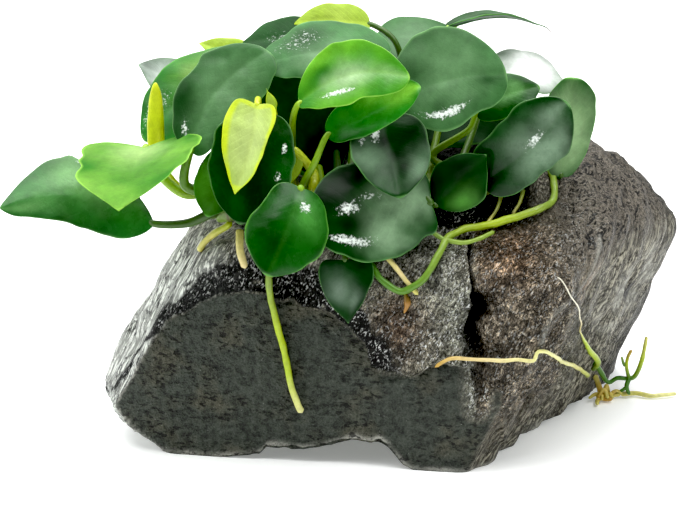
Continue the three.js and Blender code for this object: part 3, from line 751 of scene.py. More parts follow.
def smooth_path(places, count):
    """count points, evenly spaced, on a smooth curve through the places."""
    places = np.array(places, float)
    before = 2 * places[0] - places[1]
    after = 2 * places[-1] - places[-2]
    p = np.concatenate([[before], places, [after]])[:, None]
    gaps = np.sqrt(np.linalg.norm(np.diff(p, axis=0), axis=-1, keepdims=True))
    gap0, gap1, gap2 = gaps[:-2], gaps[1:-1], gaps[2:]
    p0, p1, p2, p3 = p[:-3], p[1:-2], p[2:-1], p[3:]
    slope1 = gap1 * ((p1 - p0) / gap0 - (p2 - p0) / (gap0 + gap1) + (p2 - p1) / gap1)
    slope2 = gap1 * ((p2 - p1) / gap1 - (p3 - p1) / (gap1 + gap2) + (p3 - p2) / gap2)
    t = np.linspace(0, 1, CURVE_STEPS)[None, :, None]
    curve = (p1 + slope1 * t + (3 * (p2 - p1) - 2 * slope1 - slope2) * t ** 2
             + (2 * (p1 - p2) + slope1 + slope2) * t ** 3)
    curve = np.concatenate([curve[:, :-1].reshape(-1, 3), places[-1:]])
    travelled = np.concatenate([[0], np.cumsum(step_lengths(curve))])
    shares = np.linspace(0, travelled[-1], count)
    return np.stack([np.interp(shares, travelled, axis) for axis in curve.T], axis=1)


# %% Tube along a path
CAP = 0.4


def tube_points(path, radii, around):
    """Rings of a round tube, then its two end points, which lie CAP radii beyond the rings."""
    ahead = unit(np.gradient(path, axis=0))
    steady = np.linalg.svd(ahead, full_matrices=False)[2][-1]
    side = unit(steady - ahead * (ahead @ steady)[:, None])
    other = np.cross(ahead, side)
    turn = 2 * np.pi * np.arange(around) / around
    ring = np.cos(turn)[:, None] * side[:, None] + np.sin(turn)[:, None] * other[:, None]
    points = path[:, None] + np.asarray(radii)[:, None, None] * ring
    ends = path[[0, -1]] + CAP * np.array([[-radii[0]], [radii[-1]]]) * ahead[[0, -1]]
    return np.concatenate([points.reshape(-1, 3), ends])


def per_ring(values, around):
    """One value for each ring, given to all its points and to the two end points."""
    values = np.asarray(values, float)
    return np.concatenate([np.repeat(values, around, axis=0), values[:1], values[-1:]])


def ramp(shares, stops):
    """A colour at each share of the way, blended between stops of (share, colour)."""
    places = [place for place, colour in stops]
    colours = np.array([colour for place, colour in stops])
    return np.stack([np.interp(shares, places, channel) for channel in colours.T], axis=-1)


# %% [markdown]
# ## The creeping stem
#
# The stem is a finger-thick green runner in small: each leaf that fell left a ring around it.
# A tube whose radius rises at every ring gives that, and its colour darkens in the rings.

# %% Make the stem
STEM_PLACES = [(-24, -15.5, 48.6), (-12, -17, 51), (-2, -17.2, 51.6), (8, -16.6, 51.6),
               (17, -15.6, 51.8), (28, -13, 53.4), (39, -9, 56)]
STEM_RADIUS = 2.1
STEM_TAPER = 0.8
STEM_RINGS = 170
STEM_AROUND = 28
SCAR_SPACING = 3.1
SCAR_SHARPNESS = 6
ROUND_END = 0.02

stem_path = smooth_path(STEM_PLACES, STEM_RINGS)
stem_share = np.linspace(0, 1, STEM_RINGS)
stem_length = step_lengths(stem_path).sum()
scar = (0.5 + 0.5 * np.cos(2 * np.pi * stem_share * stem_length / SCAR_SPACING)) ** SCAR_SHARPNESS
stem_to_end = np.minimum(stem_share, 1 - stem_share) / ROUND_END
stem_end = np.sqrt(1 - np.clip(1 - stem_to_end, 0, 1) ** 2)
stem_radii = STEM_RADIUS * (1 - (1 - STEM_TAPER) * stem_share) * (0.92 + 0.1 * scar)
stem_points = tube_points(stem_path, stem_radii * np.maximum(stem_end, 0.15), STEM_AROUND)
stem_points = stem_points + 0.12 * clouds(stem_points, 1.6, 5)[:, None]
stem_tint = blend(scar, (0.12, 0.2, 0.035), (0.07, 0.06, 0.02))


def paint_skin(name, roughness, coat, fine_mm):
    """A smooth living skin in the colour of its tint, streaked and slightly bumpy."""
    paint = Paint(name)
    place = paint.place()
    streaks = paint.noise(place, fine_mm, 3)
    colour = paint.shade(paint.attribute("tint", "Color"), 0.7 + 0.6 * streaks)
    return paint.finish({
        "Base Color": colour, "Roughness": roughness, "Coat Weight": coat, "Coat Roughness": 0.1,
        "Specular IOR Level": 0.35, "Normal": paint.bump(streaks, 0.12, 0.7)})


stem_material = paint_skin("green_stem", 0.4, 0.3, 0.5)
stem = add_piece("stem", [{
    "points": stem_points, "faces": skin_faces(STEM_RINGS, STEM_AROUND),
    "tint": per_ring(stem_tint, STEM_AROUND)}], [stem_material])
settle(stem, "rhizome")
print("the stem is", round(float(stem_length), 1), "mm long")

# %% [markdown]
# ## The leaves
#
# Every leaf is the same idea with other numbers: an oval blade that folds a little along its
# midrib, on a thin stalk. So there is one formula for the blade, and a table says for each
# leaf where its two ends are, which way it faces and how it bends.
#
# The blade is a skin around its midrib. Two numbers name each of its points: an angle from 0
# at the base to pi at the tip, and a turn around the midrib. The half width is a power of
# the sine of half the angle, which closes the base, times a power of its cosine, which
# closes the tip.

# %% The table of leaves, in millimetres and degrees
# A leaf's sheen and its patches above zero are painted sheen, its patches below zero are painted
# shade, and its streaks are painted highlights.
USUAL_LEAF = dict(cup=0, arch=0, bend=0, wave=0, broad=0, lobe=0.2, thick=0.62, rim=0.955,
                  tone=1, gloss=1, spike=0.7, stout=1, bumps=[], patches=[], streaks=[])
LEAVES = {}


def grow(name, finish, half, fold, point, start, via, base, tip, face, **own):
    """Adds a leaf to the table.

    Its finish comes first, then half its blade's width, its fold and how pointed it is; where
    along the stem its stalk starts and how far it turns to the back there; the places that
    the stalk bends through; the blade's base and tip; the way it faces; and what is its own."""
    LEAVES[name] = dict(USUAL_LEAF, finish=finish, half=half, fold=fold, point=point, start=start,
                        via=via, base=base, tip=tip, face=face, **own)


grow("leaf_far_left", "dark", 6.9, -14, 0.3, (0, -70), [(-28.5, -19.5, 48)], (-35, -20, 48),
     (-62.9, -22, 51.8), (0, -0.75, 0.6), bend=-4.8, broad=0.3, lobe=0, bumps=[(0.2, 1, 0.2, 0.3),
     (0.75, 1, 0.25, -0.2), (0.8, -1, 0.2, 0.4), (0.42, -1, 0.08, -0.12), (0.6, -1, 0.05, 0.08)],
     tone=3, stout=1.3, sheen=(0.16, 0.34, 0.12), patches=[(0.45, -0.4, 0.6, 1),
     (0.5, 0.5, 0.4, -0.3), (0.85, 0.5, 0.3, 0.5)], streaks=[(0.5, -0.92, 0.07, 0.15, 0.9)])
grow("leaf_light_left", "light", 12.6, 14, 0.3, (0.02, 30), [(-29.5, -15, 52.5), (-35, -13.6, 57)],
     (-36.8, -13.2, 61), (-39.8, -36, 56), (-0.14, -0.15, 1), cup=0.06, arch=0.6, broad=-0.3,
     lobe=0.04, bumps=[(0.42, -1, 0.36, -0.17), (0.5, 1, 0.2, 0.07)], tone=0.8, gloss=0.05,
     stout=1.5, sheen=(0.33, 0.46, 0.19), rib=0, pale=(0.18, 0.41, 0.05),
     patches=[(0.1, 0, 0.5, 0.6), (0.55, 0.3, 0.4, -0.5)])
grow("leaf_left_inner", "grey", 7.6, 10, -0.2, (0.03, -25), [(-29, -18.2, 55)], (-28, -17.4, 61.8),
     (-14, -10, 78.6), (-0.15, -0.9, 0.4), bend=2.8, cup=-0.12, bumps=[(0.6, 1, 0.3, -0.1)],
     stout=1.5, patches=[(0.55, -0.1, 0.9, 0.9), (0.3, 0.8, 0.45, -1)],
     streaks=[(0.12, 0.45, 0.08, 0.2, 0.8)])
grow("leaf_left_outer", "mid", 9, 8, 0, (0.13, 30), [(-18, -7, 58)], (-14, 0.4, 74),
     (-37.5, -5, 61), (-0.3, -0.7, 0.62), bend=-3, cup=-0.1, tone=2, gloss=0.6,
     sheen=(0.25, 0.42, 0.08), patches=[(0.3, -0.3, 0.5, 0.8), (0.7, 0.3, 0.4, -0.6)],
     streaks=[(0.85, -0.4, 0.2, 0.4, 0.7)])
grow("leaf_left_grey", "grey", 5.6, 10, 0.3, (0.17, 55), [(-17, -1, 57)], (-25, 8.4, 64.2),
     (-38.8, 7, 72.2), (-0.35, -0.55, 0.8), gloss=0.6, sheen=(0.6, 0.66, 0.62),
     patches=[(0.5, 0, 1, 1)])
grow("leaf_left_yellow_tip", "young", 3.2, 12, 0.3, (0.26, 90), [(-13, 1, 60)], (-16, 8.5, 72.6),
     (-27, 9.5, 76), (0, -0.7, 0.75), tone=0.9)
grow("leaf_rolled_yellow", "young", 1.7, 0, -0.3, (0.07, 60), [(-30, -9, 51.4)], (-35, -9.6, 58.8),
     (-35, -9, 71.8), (0, -1, 0.1), broad=-0.6, thick=2.4, pale=(0.68, 0.74, 0.04),
     deep=(0.5, 0.6, 0.02))
grow("leaf_young_yellow", "young", 5.3, 12, 0.5, (0.19, 45), [(-15, -12.6, 65),
     (-15.2, -15.6, 70.8)], (-15.2, -21.5, 71.5), (-19, -30.5, 57.6), (-0.1, -0.88, 0.46),
     bend=0.8, cup=0.16, broad=-0.3, bumps=[(0.5, 1, 0.3, -0.36), (0.5, -1, 0.3, 0.08)], tone=0.82,
     rim=0.74, sheen=(0.36, 0.46, 0.15), patches=[(0.5, 0, 1.3, 1)])
grow("leaf_dark_mid", "dark", 8.3, 14, 0.1, (0.15, 0), [(-13.4, -15.2, 59)], (-14.2, -16, 68),
     (-18.4, -25.2, 50.2), (0, -0.92, 0.4), bend=-0.6, cup=0.05, sheen=(0.01, 0.09, 0.01),
     patches=[(0.5, 0.8, 0.3, 0.7), (0.85, -0.2, 0.3, 0.4), (0.4, 0.1, 0.5, -0.8)],
     streaks=[(0.3, 0.75, 0.06, 0.08, 1), (0.56, 0.7, 0.07, 0.08, 0.9)])
grow("leaf_left_mid", "mid", 5, 6, 0.1, (0.08, -15), [(-20.4, -14.5, 55)], (-20.2, -16.4, 61),
     (-24.5, -23, 51), (-0.2, -0.9, 0.3), tone=0.7, gloss=0.3, sheen=(0.06, 0.22, 0.02),
     patches=[(0.5, -0.4, 1.2, 1)])
grow("leaf_front_round", "mid", 7.2, -4, 0, (0.25, -62), [], (-7.2, -25.2, 56.4),
     (-13, -33.4, 42.8), (0.12, -0.86, 0.48), bend=0.4, cup=-0.2, arch=1.2,
     bumps=[(0.3, -1, 0.2, -0.15), (0.75, 1, 0.08, -0.1)], tone=0.85, stout=1.3,
     patches=[(0.25, 0.4, 0.4, 0.9), (0.7, -0.2, 0.4, -0.8), (0.5, -0.6, 0.4, -0.6)],
     streaks=[(0.2, 0.3, 0.07, 0.24, 1)])
grow("leaf_young_narrow", "young", 2.6, 16, 0.7, (0.3, -30), [(-4.8, -18, 57)], (-8.4, -17, 61.5),
     (-11.2, -19.4, 54.6), (0.1, -0.95, 0.2), stout=1.35)
grow("leaf_bright_centre", "light", 6.9, 5, -0.02, (0.23, 35), [(-9, -10, 58),
     (-8.8, -13.6, 66.4)], (-7.4, -20.5, 71.5), (12.1, -24, 77.3), (-0.05, -0.82, 0.56), bend=3,
     cup=0.08, lobe=0.08, bumps=[(0.3, -1, 0.3, -0.2), (0.75, -1, 0.2, -0.2),
     (0.06, -1, 0.1, -0.3)], sheen=(0.33, 0.5, 0.25), patches=[(0.25, 0.35, 0.35, -1),
     (0.5, -0.1, 0.4, 0.9), (0.9, 0, 0.3, 0.3)], streaks=[(0.36, -0.5, 0.2, 0.13, 1)])
grow("leaf_bright_under", "mid", 4.8, 6, -0.05, (0.27, -30), [(-4.6, -20, 60)], (-2.2, -18, 64.8),
     (14.3, -20.5, 74.4), (0.1, -0.8, 0.6), cup=0.06, lobe=0.1, bumps=[(0.3, -1, 0.35, -0.15)],
     tone=2.6, sheen=(0.2, 0.5, 0.05), patches=[(0.95, 0.1, 0.5, 1), (0.6, 0.5, 0.3, 0.6)])
grow("leaf_inner_dark", "dark", 9.6, 6, -0.5, (0.29, 40), [(-8, -9, 55)], (-6.5, -7, 54),
     (-7.5, -6, 78), (0.1, -0.85, 0.4), broad=-0.5, tone=2, gloss=0.2)
grow("bud_centre", "young", 1, 0, 0.8, (0.21, 60), [(-12, -10, 61.6)], (-12.4, -14.6, 69),
     (-13.4, -16.4, 72.6), (0, -0.9, 0.4), thick=1.5)
grow("leaf_top_speckled", "grey", 8.2, -6, -0.1, (0.41, 30), [(3, -8, 62)], (9.4, -9, 77.8),
     (-14.8, -9.2, 76.2), (0, -0.68, 0.74), bend=-2, cup=-0.1, bumps=[(0.85, 1, 0.35, -0.4)],
     tone=1.6, gloss=0.6, sheen=(0.22, 0.35, 0.2), patches=[(0.4, 0.4, 0.6, 0.9),
     (0.65, -0.5, 0.4, -0.9)], streaks=[(0.7, -0.45, 0.28, 0.45, 0.55)])
grow("leaf_top_dark", "dark", 5, 4, 0.3, (0.37, 50), [(-1, -1, 62)], (-3, 5, 78), (-18, 5.4, 77.2),
     (0, -0.65, 0.76), bend=-0.8, tone=1.6, gloss=0.3, spike=1.2,
     streaks=[(0.6, 0, 0.3, 0.5, 0.5)])
grow("leaf_top_yellow", "young", 4.3, 6, 0.3, (0.44, 60), [(12, -3, 71), (10.6, -1.5, 79)],
     (5.8, 1, 81.8), (-8, 0, 82.2), (0.05, -0.6, 0.8), bend=-0.9, lobe=0.1, tone=0.7, gloss=0.3,
     stalk="dark")
grow("leaf_top_back", "grey", 8, -6, -0.5, (0.5, 25), [(11, -6, 64)], (12.4, -4, 72.6),
     (16, 12, 80.6), (0, -0.55, 0.83), lobe=0.1, gloss=0.3, sheen=(0.17, 0.28, 0.16),
     patches=[(0.6, 0, 0.8, 0.5)])
grow("leaf_top_right_thin", "mid", 4.8, 6, 0.8, (0.64, 40), [(20, 0, 66)], (21, 5, 80.2),
     (39.2, 8, 79.8), (0, 0.12, 1), arch=2.3, gloss=0.2, spike=2.4)
grow("leaf_big_right", "grey", 10.2, 3, -0.2, (0.56, 5), [(12.8, -11.4, 61)], (11.4, -12.8, 70.2),
     (30.6, -13.6, 75.4), (0, -0.86, 0.5), bend=1.4, cup=-0.06, bumps=[(0.2, 1, 0.25, 0.12),
     (0.75, -1, 0.25, -0.3), (0.9, 1, 0.15, -0.1)], gloss=0.6, sheen=(0.13, 0.26, 0.115),
     patches=[(0.5, 0.1, 0.9, 0.7), (0.35, -0.55, 0.2, -0.6), (0.15, 0.3, 0.3, -0.7),
     (0.85, -0.2, 0.2, -0.8)], streaks=[(0.4, -0.66, 0.26, 0.12, 1)])
grow("leaf_right_mid", "mid", 4.3, 4, 0, (0.7, 10), [(17.6, -12, 59), (24.8, -11, 64.2)],
     (26, -9.4, 66.8), (37.3, -9.4, 71.7), (0.1, -0.75, 0.64), bend=1, lobe=0.1,
     sheen=(0.13, 0.31, 0.1), patches=[(0.6, 0.1, 0.5, 1)])
grow("leaf_right_pale", "grey", 6.4, -4, 0.2, (0.73, 45), [(26, -3, 62)], (30, 3, 73),
     (43.6, 3.6, 69.4), (0.3, -0.42, 0.85), arch=1.2, gloss=0.5, sheen=(0.9, 0.93, 0.9), rib=0,
     patches=[(0.5, 0, 1, 1)])
grow("leaf_right_dark", "dark", 7.9, 9, -0.1, (0.8, -45), [], (27, -16.6, 55), (42, -18, 70.4),
     (0.05, -0.9, 0.42), bend=-1.4, cup=-0.08, bumps=[(0.55, -1, 0.4, -0.3)], stout=1.2,
     sheen=(0.17, 0.26, 0.17), patches=[(0.6, -0.45, 0.5, 1), (0.88, 0.2, 0.35, 0.7),
     (0.5, 0.35, 0.3, 0.4), (0.05, 0, 0.4, -1)], streaks=[(0.6, 0.05, 0.14, 0.14, 0.9)])
grow("leaf_right_back", "mid", 5.4, 6, -0.4, (0.96, 35), [(40.5, -3.2, 53.6)], (42.8, -7, 53.7),
     (44.4, -6, 72.2), (0.3, -0.85, 0.35), gloss=0.6, sheen=(0.27, 0.43, 0.2), stalk="dark",
     patches=[(0.5, 0, 0.9, 1)])
grow("leaf_centre_fold", "dark", 7.7, 16, 0, (0.47, 20), [(6.4, -12.6, 60)], (8, -15, 67),
     (11.2, -25.8, 55.5), (0, -0.86, 0.5), bend=0.4, bumps=[(0.3, -1, 0.15, 0.1)], gloss=0.5,
     sheen=(0.12, 0.21, 0.12), patches=[(0.5, -0.62, 0.4, 0.85), (0.75, 0.7, 0.3, 0.8),
     (0.3, -0.1, 0.17, -1), (0.5, 0.08, 0.17, -1), (0.68, 0.2, 0.14, -1), (0.3, 0.5, 0.3, -0.6)],
     streaks=[(0.2, -0.35, 0.14, 0.16, 1), (0.3, -0.7, 0.08, 0.1, 0.8)])
grow("leaf_front_big", "dark", 9.2, -3, -0.12, (0.6, -20), [(14.6, -18.8, 54.6)],
     (17.2, -21.2, 52.4), (-5.4, -25.8, 50.4), (0.05, -0.88, 0.42), bend=-0.6, cup=-0.08, wave=0.7,
     broad=-0.3, bumps=[(0.55, 1, 0.35, 0.14), (0.8, -1, 0.2, 0.06), (0.14, 1, 0.06, -0.12)],
     gloss=0.6, sheen=(0.23, 0.37, 0.21), patches=[(0.2, -0.1, 0.5, 1), (0.42, 0.5, 0.32, 0.9),
     (0.45, -0.4, 0.2, 0.4), (0.8, -0.5, 0.45, -1), (0.7, 0.25, 0.28, -1), (0.6, -0.75, 0.3, -1)],
     streaks=[(0.72, 0.6, 0.26, 0.14, 1), (0.68, -0.08, 0.13, 0.17, 0.9),
     (0.5, -0.25, 0.16, 0.12, 0.7)])
grow("leaf_small_dark", "dark", 5.3, 2, 0.5, (0.74, -35), [(18, -15, 54)], (18.2, -18.2, 50.9),
     (27, -18.6, 60.6), (0, -0.9, 0.4), broad=0.4, lobe=0, gloss=0.25, sheen=(0.06, 0.2, 0.03),
     patches=[(0.35, -0.6, 0.4, 1), (0.7, 0.4, 0.5, -1)])
grow("leaf_hanging_dark", "dark", 5, 6, 0.5, (0.4, -100), [(1, -22.3, 46.4)], (1, -24.9, 42.4),
     (1.6, -28, 31.6), (0, -0.98, 0.2), broad=-0.5, gloss=0.5, sheen=(0.13, 0.19, 0.135),
     patches=[(0.5, -0.3, 0.5, 1), (0.7, 0.4, 0.3, 0.8)])
grow("leaf_back_left", "mid", 7.2, 8, 0.3, (0.1, 80), [(-19, -3, 54)], (-21, 4, 57), (-37, 15, 59),
     (-0.3, 0.3, 0.9), arch=2)
grow("leaf_back_low", "dark", 7.6, 8, 0.3, (0.15, 95), [(-11, -1, 54)], (-9, 10, 59),
     (-19, 29, 55), (-0.2, 0.45, 0.86), arch=2.4)
grow("leaf_back_centre", "mid", 8, 8, 0.25, (0.38, 80), [(3, 0, 57)], (4, 12, 62), (6, 33, 58),
     (0, 0.5, 0.86), arch=2.4)
grow("leaf_back_high", "light", 7, 9, 0.35, (0.33, 90), [(-5, -1, 60)], (-6, 9, 71), (-11, 27, 70),
     (-0.2, 0.4, 0.9), arch=2)
grow("leaf_back_right", "dark", 7.4, 4, 0.25, (0.6, 75), [(18, 0, 57)], (9, 3, 61.5),
     (38.4, 8, 63.6), (0, -0.75, 0.66), gloss=0.3)
grow("leaf_back_upright", "grey", 7, 8, 0.3, (0.55, 50), [(14.6, -1, 62)], (13, 11, 67.4),
     (20, 22, 75), (0.1, 0.8, 0.6), arch=1.4)
grow("leaf_back_far_right", "dark", 7, 8, 0.3, (0.87, 60), [(37, 0, 60)], (37, 8, 61),
     (43, 26, 58), (0.4, 0.3, 0.87), arch=2)

# %% The blade's middle sheet
CREASE_ROUND = 0.1


def blade_frame(leaf):
    """The blade's base, its directions along, across and out, and its length."""
    base, tip = np.array(leaf["base"], float), np.array(leaf["tip"], float)
    length = np.linalg.norm(tip - base)
    along = (tip - base) / length
    face = np.array(leaf["face"], float)
    out = unit(face - along * (face @ along))
    return base, along, np.cross(out, along), out, length


def half_width(leaf, angle):
    """Half the blade's width at an angle, scaled so that its widest is the leaf's own."""
    to_tip = 1 + leaf["point"]
    to_base = 1 + leaf["broad"]
    both = to_tip + to_base
    shape = np.sin(angle / 2) ** to_base * np.maximum(np.cos(angle / 2), 0) ** to_tip
    return leaf["half"] * shape / math.sqrt(to_base ** to_base * to_tip ** to_tip / both ** both)


def blade_place(leaf, angle, side):
    """Points of the middle sheet, side going from -1 to 1 across it.

    Along the midrib they follow half of 1 - cos(angle). The halves rise with the fold, the
    edges curl with the square of side, and the whole midrib bows with 4 s (1 - s). Each bump
    widens one half, or narrows it below zero, around its place along the blade."""
    base, along, across, out, length = blade_frame(leaf)
    share = (1 - np.cos(angle)) / 2
    width = half_width(leaf, angle)
    for place, which, reach, amount in leaf["bumps"]:
        width = width * (1 + amount * (side * which > 0) * bell(share, place, reach))
    bow = 4 * share * (1 - share)
    fold = math.radians(leaf["fold"])
    crease = np.sqrt(side ** 2 + CREASE_ROUND ** 2) - CREASE_ROUND
    rise = (width * (math.sin(fold) * crease + leaf["cup"] * side ** 2)
            + leaf["wave"] * side ** 2 * np.sin(3 * angle + side))
    ear = np.abs(side) ** 1.5 * (1 - share) ** 5 * np.sin(angle / 2)
    forward = length * share - 4 * leaf["lobe"] * leaf["half"] * ear
    sideways = width * side * math.cos(fold) + leaf["bend"] * bow
    upward = rise + leaf["arch"] * bow
    return (base + forward[..., None] * along + sideways[..., None] * across
            + upward[..., None] * out)


# %% Colours of the leaves
# Every finish's sheen is a painted sheen, and the grey finish's greens are greyed by painted
# sheen.
LEAF_COLOURS = {
    "dark": dict(deep=(0.002, 0.015, 0.002), pale=(0.006, 0.05, 0.006), sheen=(0.05, 0.11, 0.05),
                 rim=(0.1, 0.26, 0.07), rib=0.02),
    "grey": dict(deep=(0.01, 0.055, 0.01), pale=(0.04, 0.13, 0.036), sheen=(0.1, 0.21, 0.09),
                 rim=(0.15, 0.33, 0.11), rib=0.03),
    "mid": dict(deep=(0.003, 0.035, 0.002), pale=(0.009, 0.1, 0.007), sheen=(0.06, 0.24, 0.04),
                rim=(0.13, 0.38, 0.06), rib=0.05),
    "light": dict(deep=(0.02, 0.17, 0.008), pale=(0.13, 0.39, 0.025), sheen=(0.27, 0.47, 0.15),
                  rim=(0.3, 0.6, 0.09), rib=0.1),
    "young": dict(deep=(0.28, 0.46, 0.02), pale=(0.42, 0.58, 0.08), sheen=(0.5, 0.64, 0.22),
                  rim=(0.46, 0.58, 0.006), rib=0.05),
}
STALK_COLOURS = {
    "dark": (0.035, 0.085, 0.01), "grey": (0.07, 0.16, 0.012), "mid": (0.16, 0.3, 0.015),
    "light": (0.22, 0.38, 0.02), "young": (0.42, 0.5, 0.03),
}

# %% The blade's skin
BLADE_RINGS = 62
BLADE_AROUND = 80
VEIN_COUNT = 11
VEIN_SLANT = 3.4
RAGGED_EDGE = 0.07
VEIN_HEIGHT = 0.025
WAVE_HEIGHT = 0.4
EDGE_WAVE_HEIGHT = 0.34
MIDRIB_DEPTH = 0.14
RIDGE_HALF = 0.5
SPIKE_BROWN = (0.07, 0.035, 0.015)


def blade_skin(leaf, seed):
    """The blade as a thin closed skin, with its midrib, veins, soft waves and colours.

    A turn around the midrib starts at the top. Its sine is the place across the blade and its
    cosine says how far above or below the middle sheet the skin is. The turns are drawn
    together at the midrib, where the crease is. Each patch of colour is a bell curve around
    its place on the blade: above zero it paints a sheen, below zero it paints shade in a darker
    deep green. Each streak is a bell curve too, where painted highlights go."""
    own = {key: leaf[key] for key in ("deep", "pale", "sheen", "rib") if key in leaf}
    colours = {**LEAF_COLOURS[leaf["finish"]], **own}
    even = 2 * np.pi * np.arange(BLADE_AROUND) / BLADE_AROUND
    turn = even - 0.25 * np.sin(2 * even)
    angle = np.linspace(0, np.pi, BLADE_RINGS + 2)[1:-1]
    angle, turn = np.meshgrid(angle, turn, indexing="ij")
    angle = np.concatenate([angle.ravel(), [0, np.pi]])
    side = np.concatenate([-np.sin(turn).ravel(), [0, 0]])
    lift = np.concatenate([np.cos(turn).ravel(), [0, 0]])
    share = (1 - np.cos(angle)) / 2
    width = half_width(leaf, angle)
    base, along, across, out, length = blade_frame(leaf)

    points = blade_place(leaf, angle, side)
    bent_tip = along - 0.5 * share[:, None] ** 80 * out
    points = points + leaf["spike"] * (share ** 40)[:, None] * bent_tip
    edge = np.stack([length * share, 20 * np.sign(side), 0 * side], axis=1)
    ragged = RAGGED_EDGE * clouds(edge, 4, seed + 40, 2) * side * np.abs(side)
    points = points + (width * ragged)[:, None] * across
    veins = np.cos(2 * np.pi * (VEIN_COUNT * share - VEIN_SLANT * np.abs(side)))
    inner = np.minimum(1, width / leaf["half"])
    ripple = VEIN_HEIGHT * veins * np.abs(side) * (1 - side ** 2) * inner
    waves = WAVE_HEIGHT * clouds(points, 8, seed) * inner
    edge_waves = EDGE_WAVE_HEIGHT * side ** 4 * cloud(points, 3.6, seed + 9) * inner
    midrib = -MIDRIB_DEPTH * bell(side * width, 0, 0.8) * inner
    sheet = leaf["thick"] / 2 * np.sign(lift) * np.abs(lift) ** 0.7 * (0.35 + 0.65 * inner)
    ridge = bell(side * width, 0, RIDGE_HALF)
    sheet = sheet - 0.4 * (lift < 0) * ridge * (1 - share) * inner
    points = points + (ripple + waves + edge_waves + midrib + sheet)[:, None] * out

    mottle = 1 + 0.45 * clouds(points, 3, seed + 30, 3)
    depth = np.clip(0.5 + 0.6 * clouds(points, 8, seed + 20), 0, 1)
    tint = blend(depth, colours["deep"], colours["pale"])
    tint = tint * leaf["tone"]
    # Painted sheen above zero and painted shade below zero, patch by patch.
    for place, across_place, reach, strength in leaf["patches"]:
        away = ((2 * (share - place)) ** 2 + (side - across_place) ** 2) * mottle / reach ** 2
        aim = colours["sheen"] if strength > 0 else np.array(colours["deep"]) * 0.7
        tint = blend(abs(strength) * np.exp(-away), tint, aim)
    tint = blend(colours["rib"] * ridge, tint, colours["rim"])
    border = np.maximum(np.abs(side), (2 * share - 1) ** 2)
    rim = smooth_step(border, leaf["rim"], min(leaf["rim"] + 0.08, 0.995))
    tint = blend(0.85 * rim * np.clip(mottle - 0.2, 0, 1), tint, colours["rim"])
    tint = blend(0.5 * (lift < -0.05), tint, np.array(colours["pale"]) * 1.3)
    tint = blend(smooth_step(share, 0.985, 0.996) * (leaf["spike"] > 2), tint, SPIKE_BROWN)
    # Where the painted highlights go.
    painted_glint = np.zeros(len(side))
    for place, across_place, reach, reach_across, strength in leaf["streaks"]:
        away = ((share - place) / reach) ** 2 + ((side - across_place) / reach_across) ** 2
        painted_glint = np.maximum(painted_glint, strength * np.exp(-away) * (lift > -0.05))
    return {"points": points, "faces": skin_faces(BLADE_RINGS, BLADE_AROUND), "tint": tint,
            "share": share, "side": side, "painted_glint": painted_glint,
            "gloss": np.full(len(side), leaf["gloss"])}


# %% The stalk's skin
STALK_RINGS = 70
STALK_AROUND = 12
STALK_RISE = 2.2
STALK_SUNK = 0.6
STEM_STEPS = 1000
MIDRIB_ANGLES = [0, 0.12, 0.22]
MIDRIB_DROP = 0.3


def stalk_skin(leaf):
    """The stalk from the stem to the blade, going on as the ridge under the blade's midrib."""
    stem_share, stem_turn = leaf["start"]
    centre = smooth_path(STEM_PLACES, STEM_STEPS + 1)[round(STEM_STEPS * stem_share)]
    heading = math.radians(stem_turn)
    off = np.array([0, math.sin(heading), math.cos(heading)])
    angles = np.pi * np.array(MIDRIB_ANGLES)
    out = blade_frame(leaf)[3]
    midrib = blade_place(leaf, angles, 0 * angles)
    midrib[1:] -= (MIDRIB_DROP + leaf["thick"] / 4) * out
    places = [centre + off * (STEM_RADIUS - STALK_SUNK),
              centre + off * (STEM_RADIUS + STALK_RISE),
              *[np.array(bend, float) for bend in leaf["via"]], *midrib]
    path = smooth_path(places, STALK_RINGS)
    to_base = np.linalg.norm(path - midrib[0], axis=1).argmin() / (STALK_RINGS - 1)
    share = np.linspace(0, 1, STALK_RINGS)
    radii = np.interp(share, [0, 0.06, 0.3 * to_base, to_base, 1], [1.15, 0.9, 0.72, 0.54, 0.2])
    radii = radii * np.interp(share, [0, 0.1, to_base, 1], [1, leaf["stout"], leaf["stout"], 1])
    colour = np.array(STALK_COLOURS[leaf.get("stalk", leaf["finish"])])
    tint = ramp(share, [(0, colour * 0.7), (0.5 * to_base, colour), (1, colour * 1.3)])
    none = np.zeros(STALK_RINGS * STALK_AROUND + 2)
    return {"points": tube_points(path, radii, STALK_AROUND),
            "faces": skin_faces(STALK_RINGS, STALK_AROUND), "tint": per_ring(tint, STALK_AROUND),
            "share": none, "side": none, "painted_glint": none, "gloss": none, "material": 1}


# %% [markdown]
# ## The leaves' finish
#
# A leaf of this plant is leathery and, here, wet. Its colour is the tint made with the
# shape, with painted sheen and painted shade in it. The material adds what is finer than the
# mesh: a mottle, side veins that lean to the tip, and crumbs of painted white highlight where
# the shape's streaks are. The veins are level lines of a sum of the place along the leaf and
# the place across it.

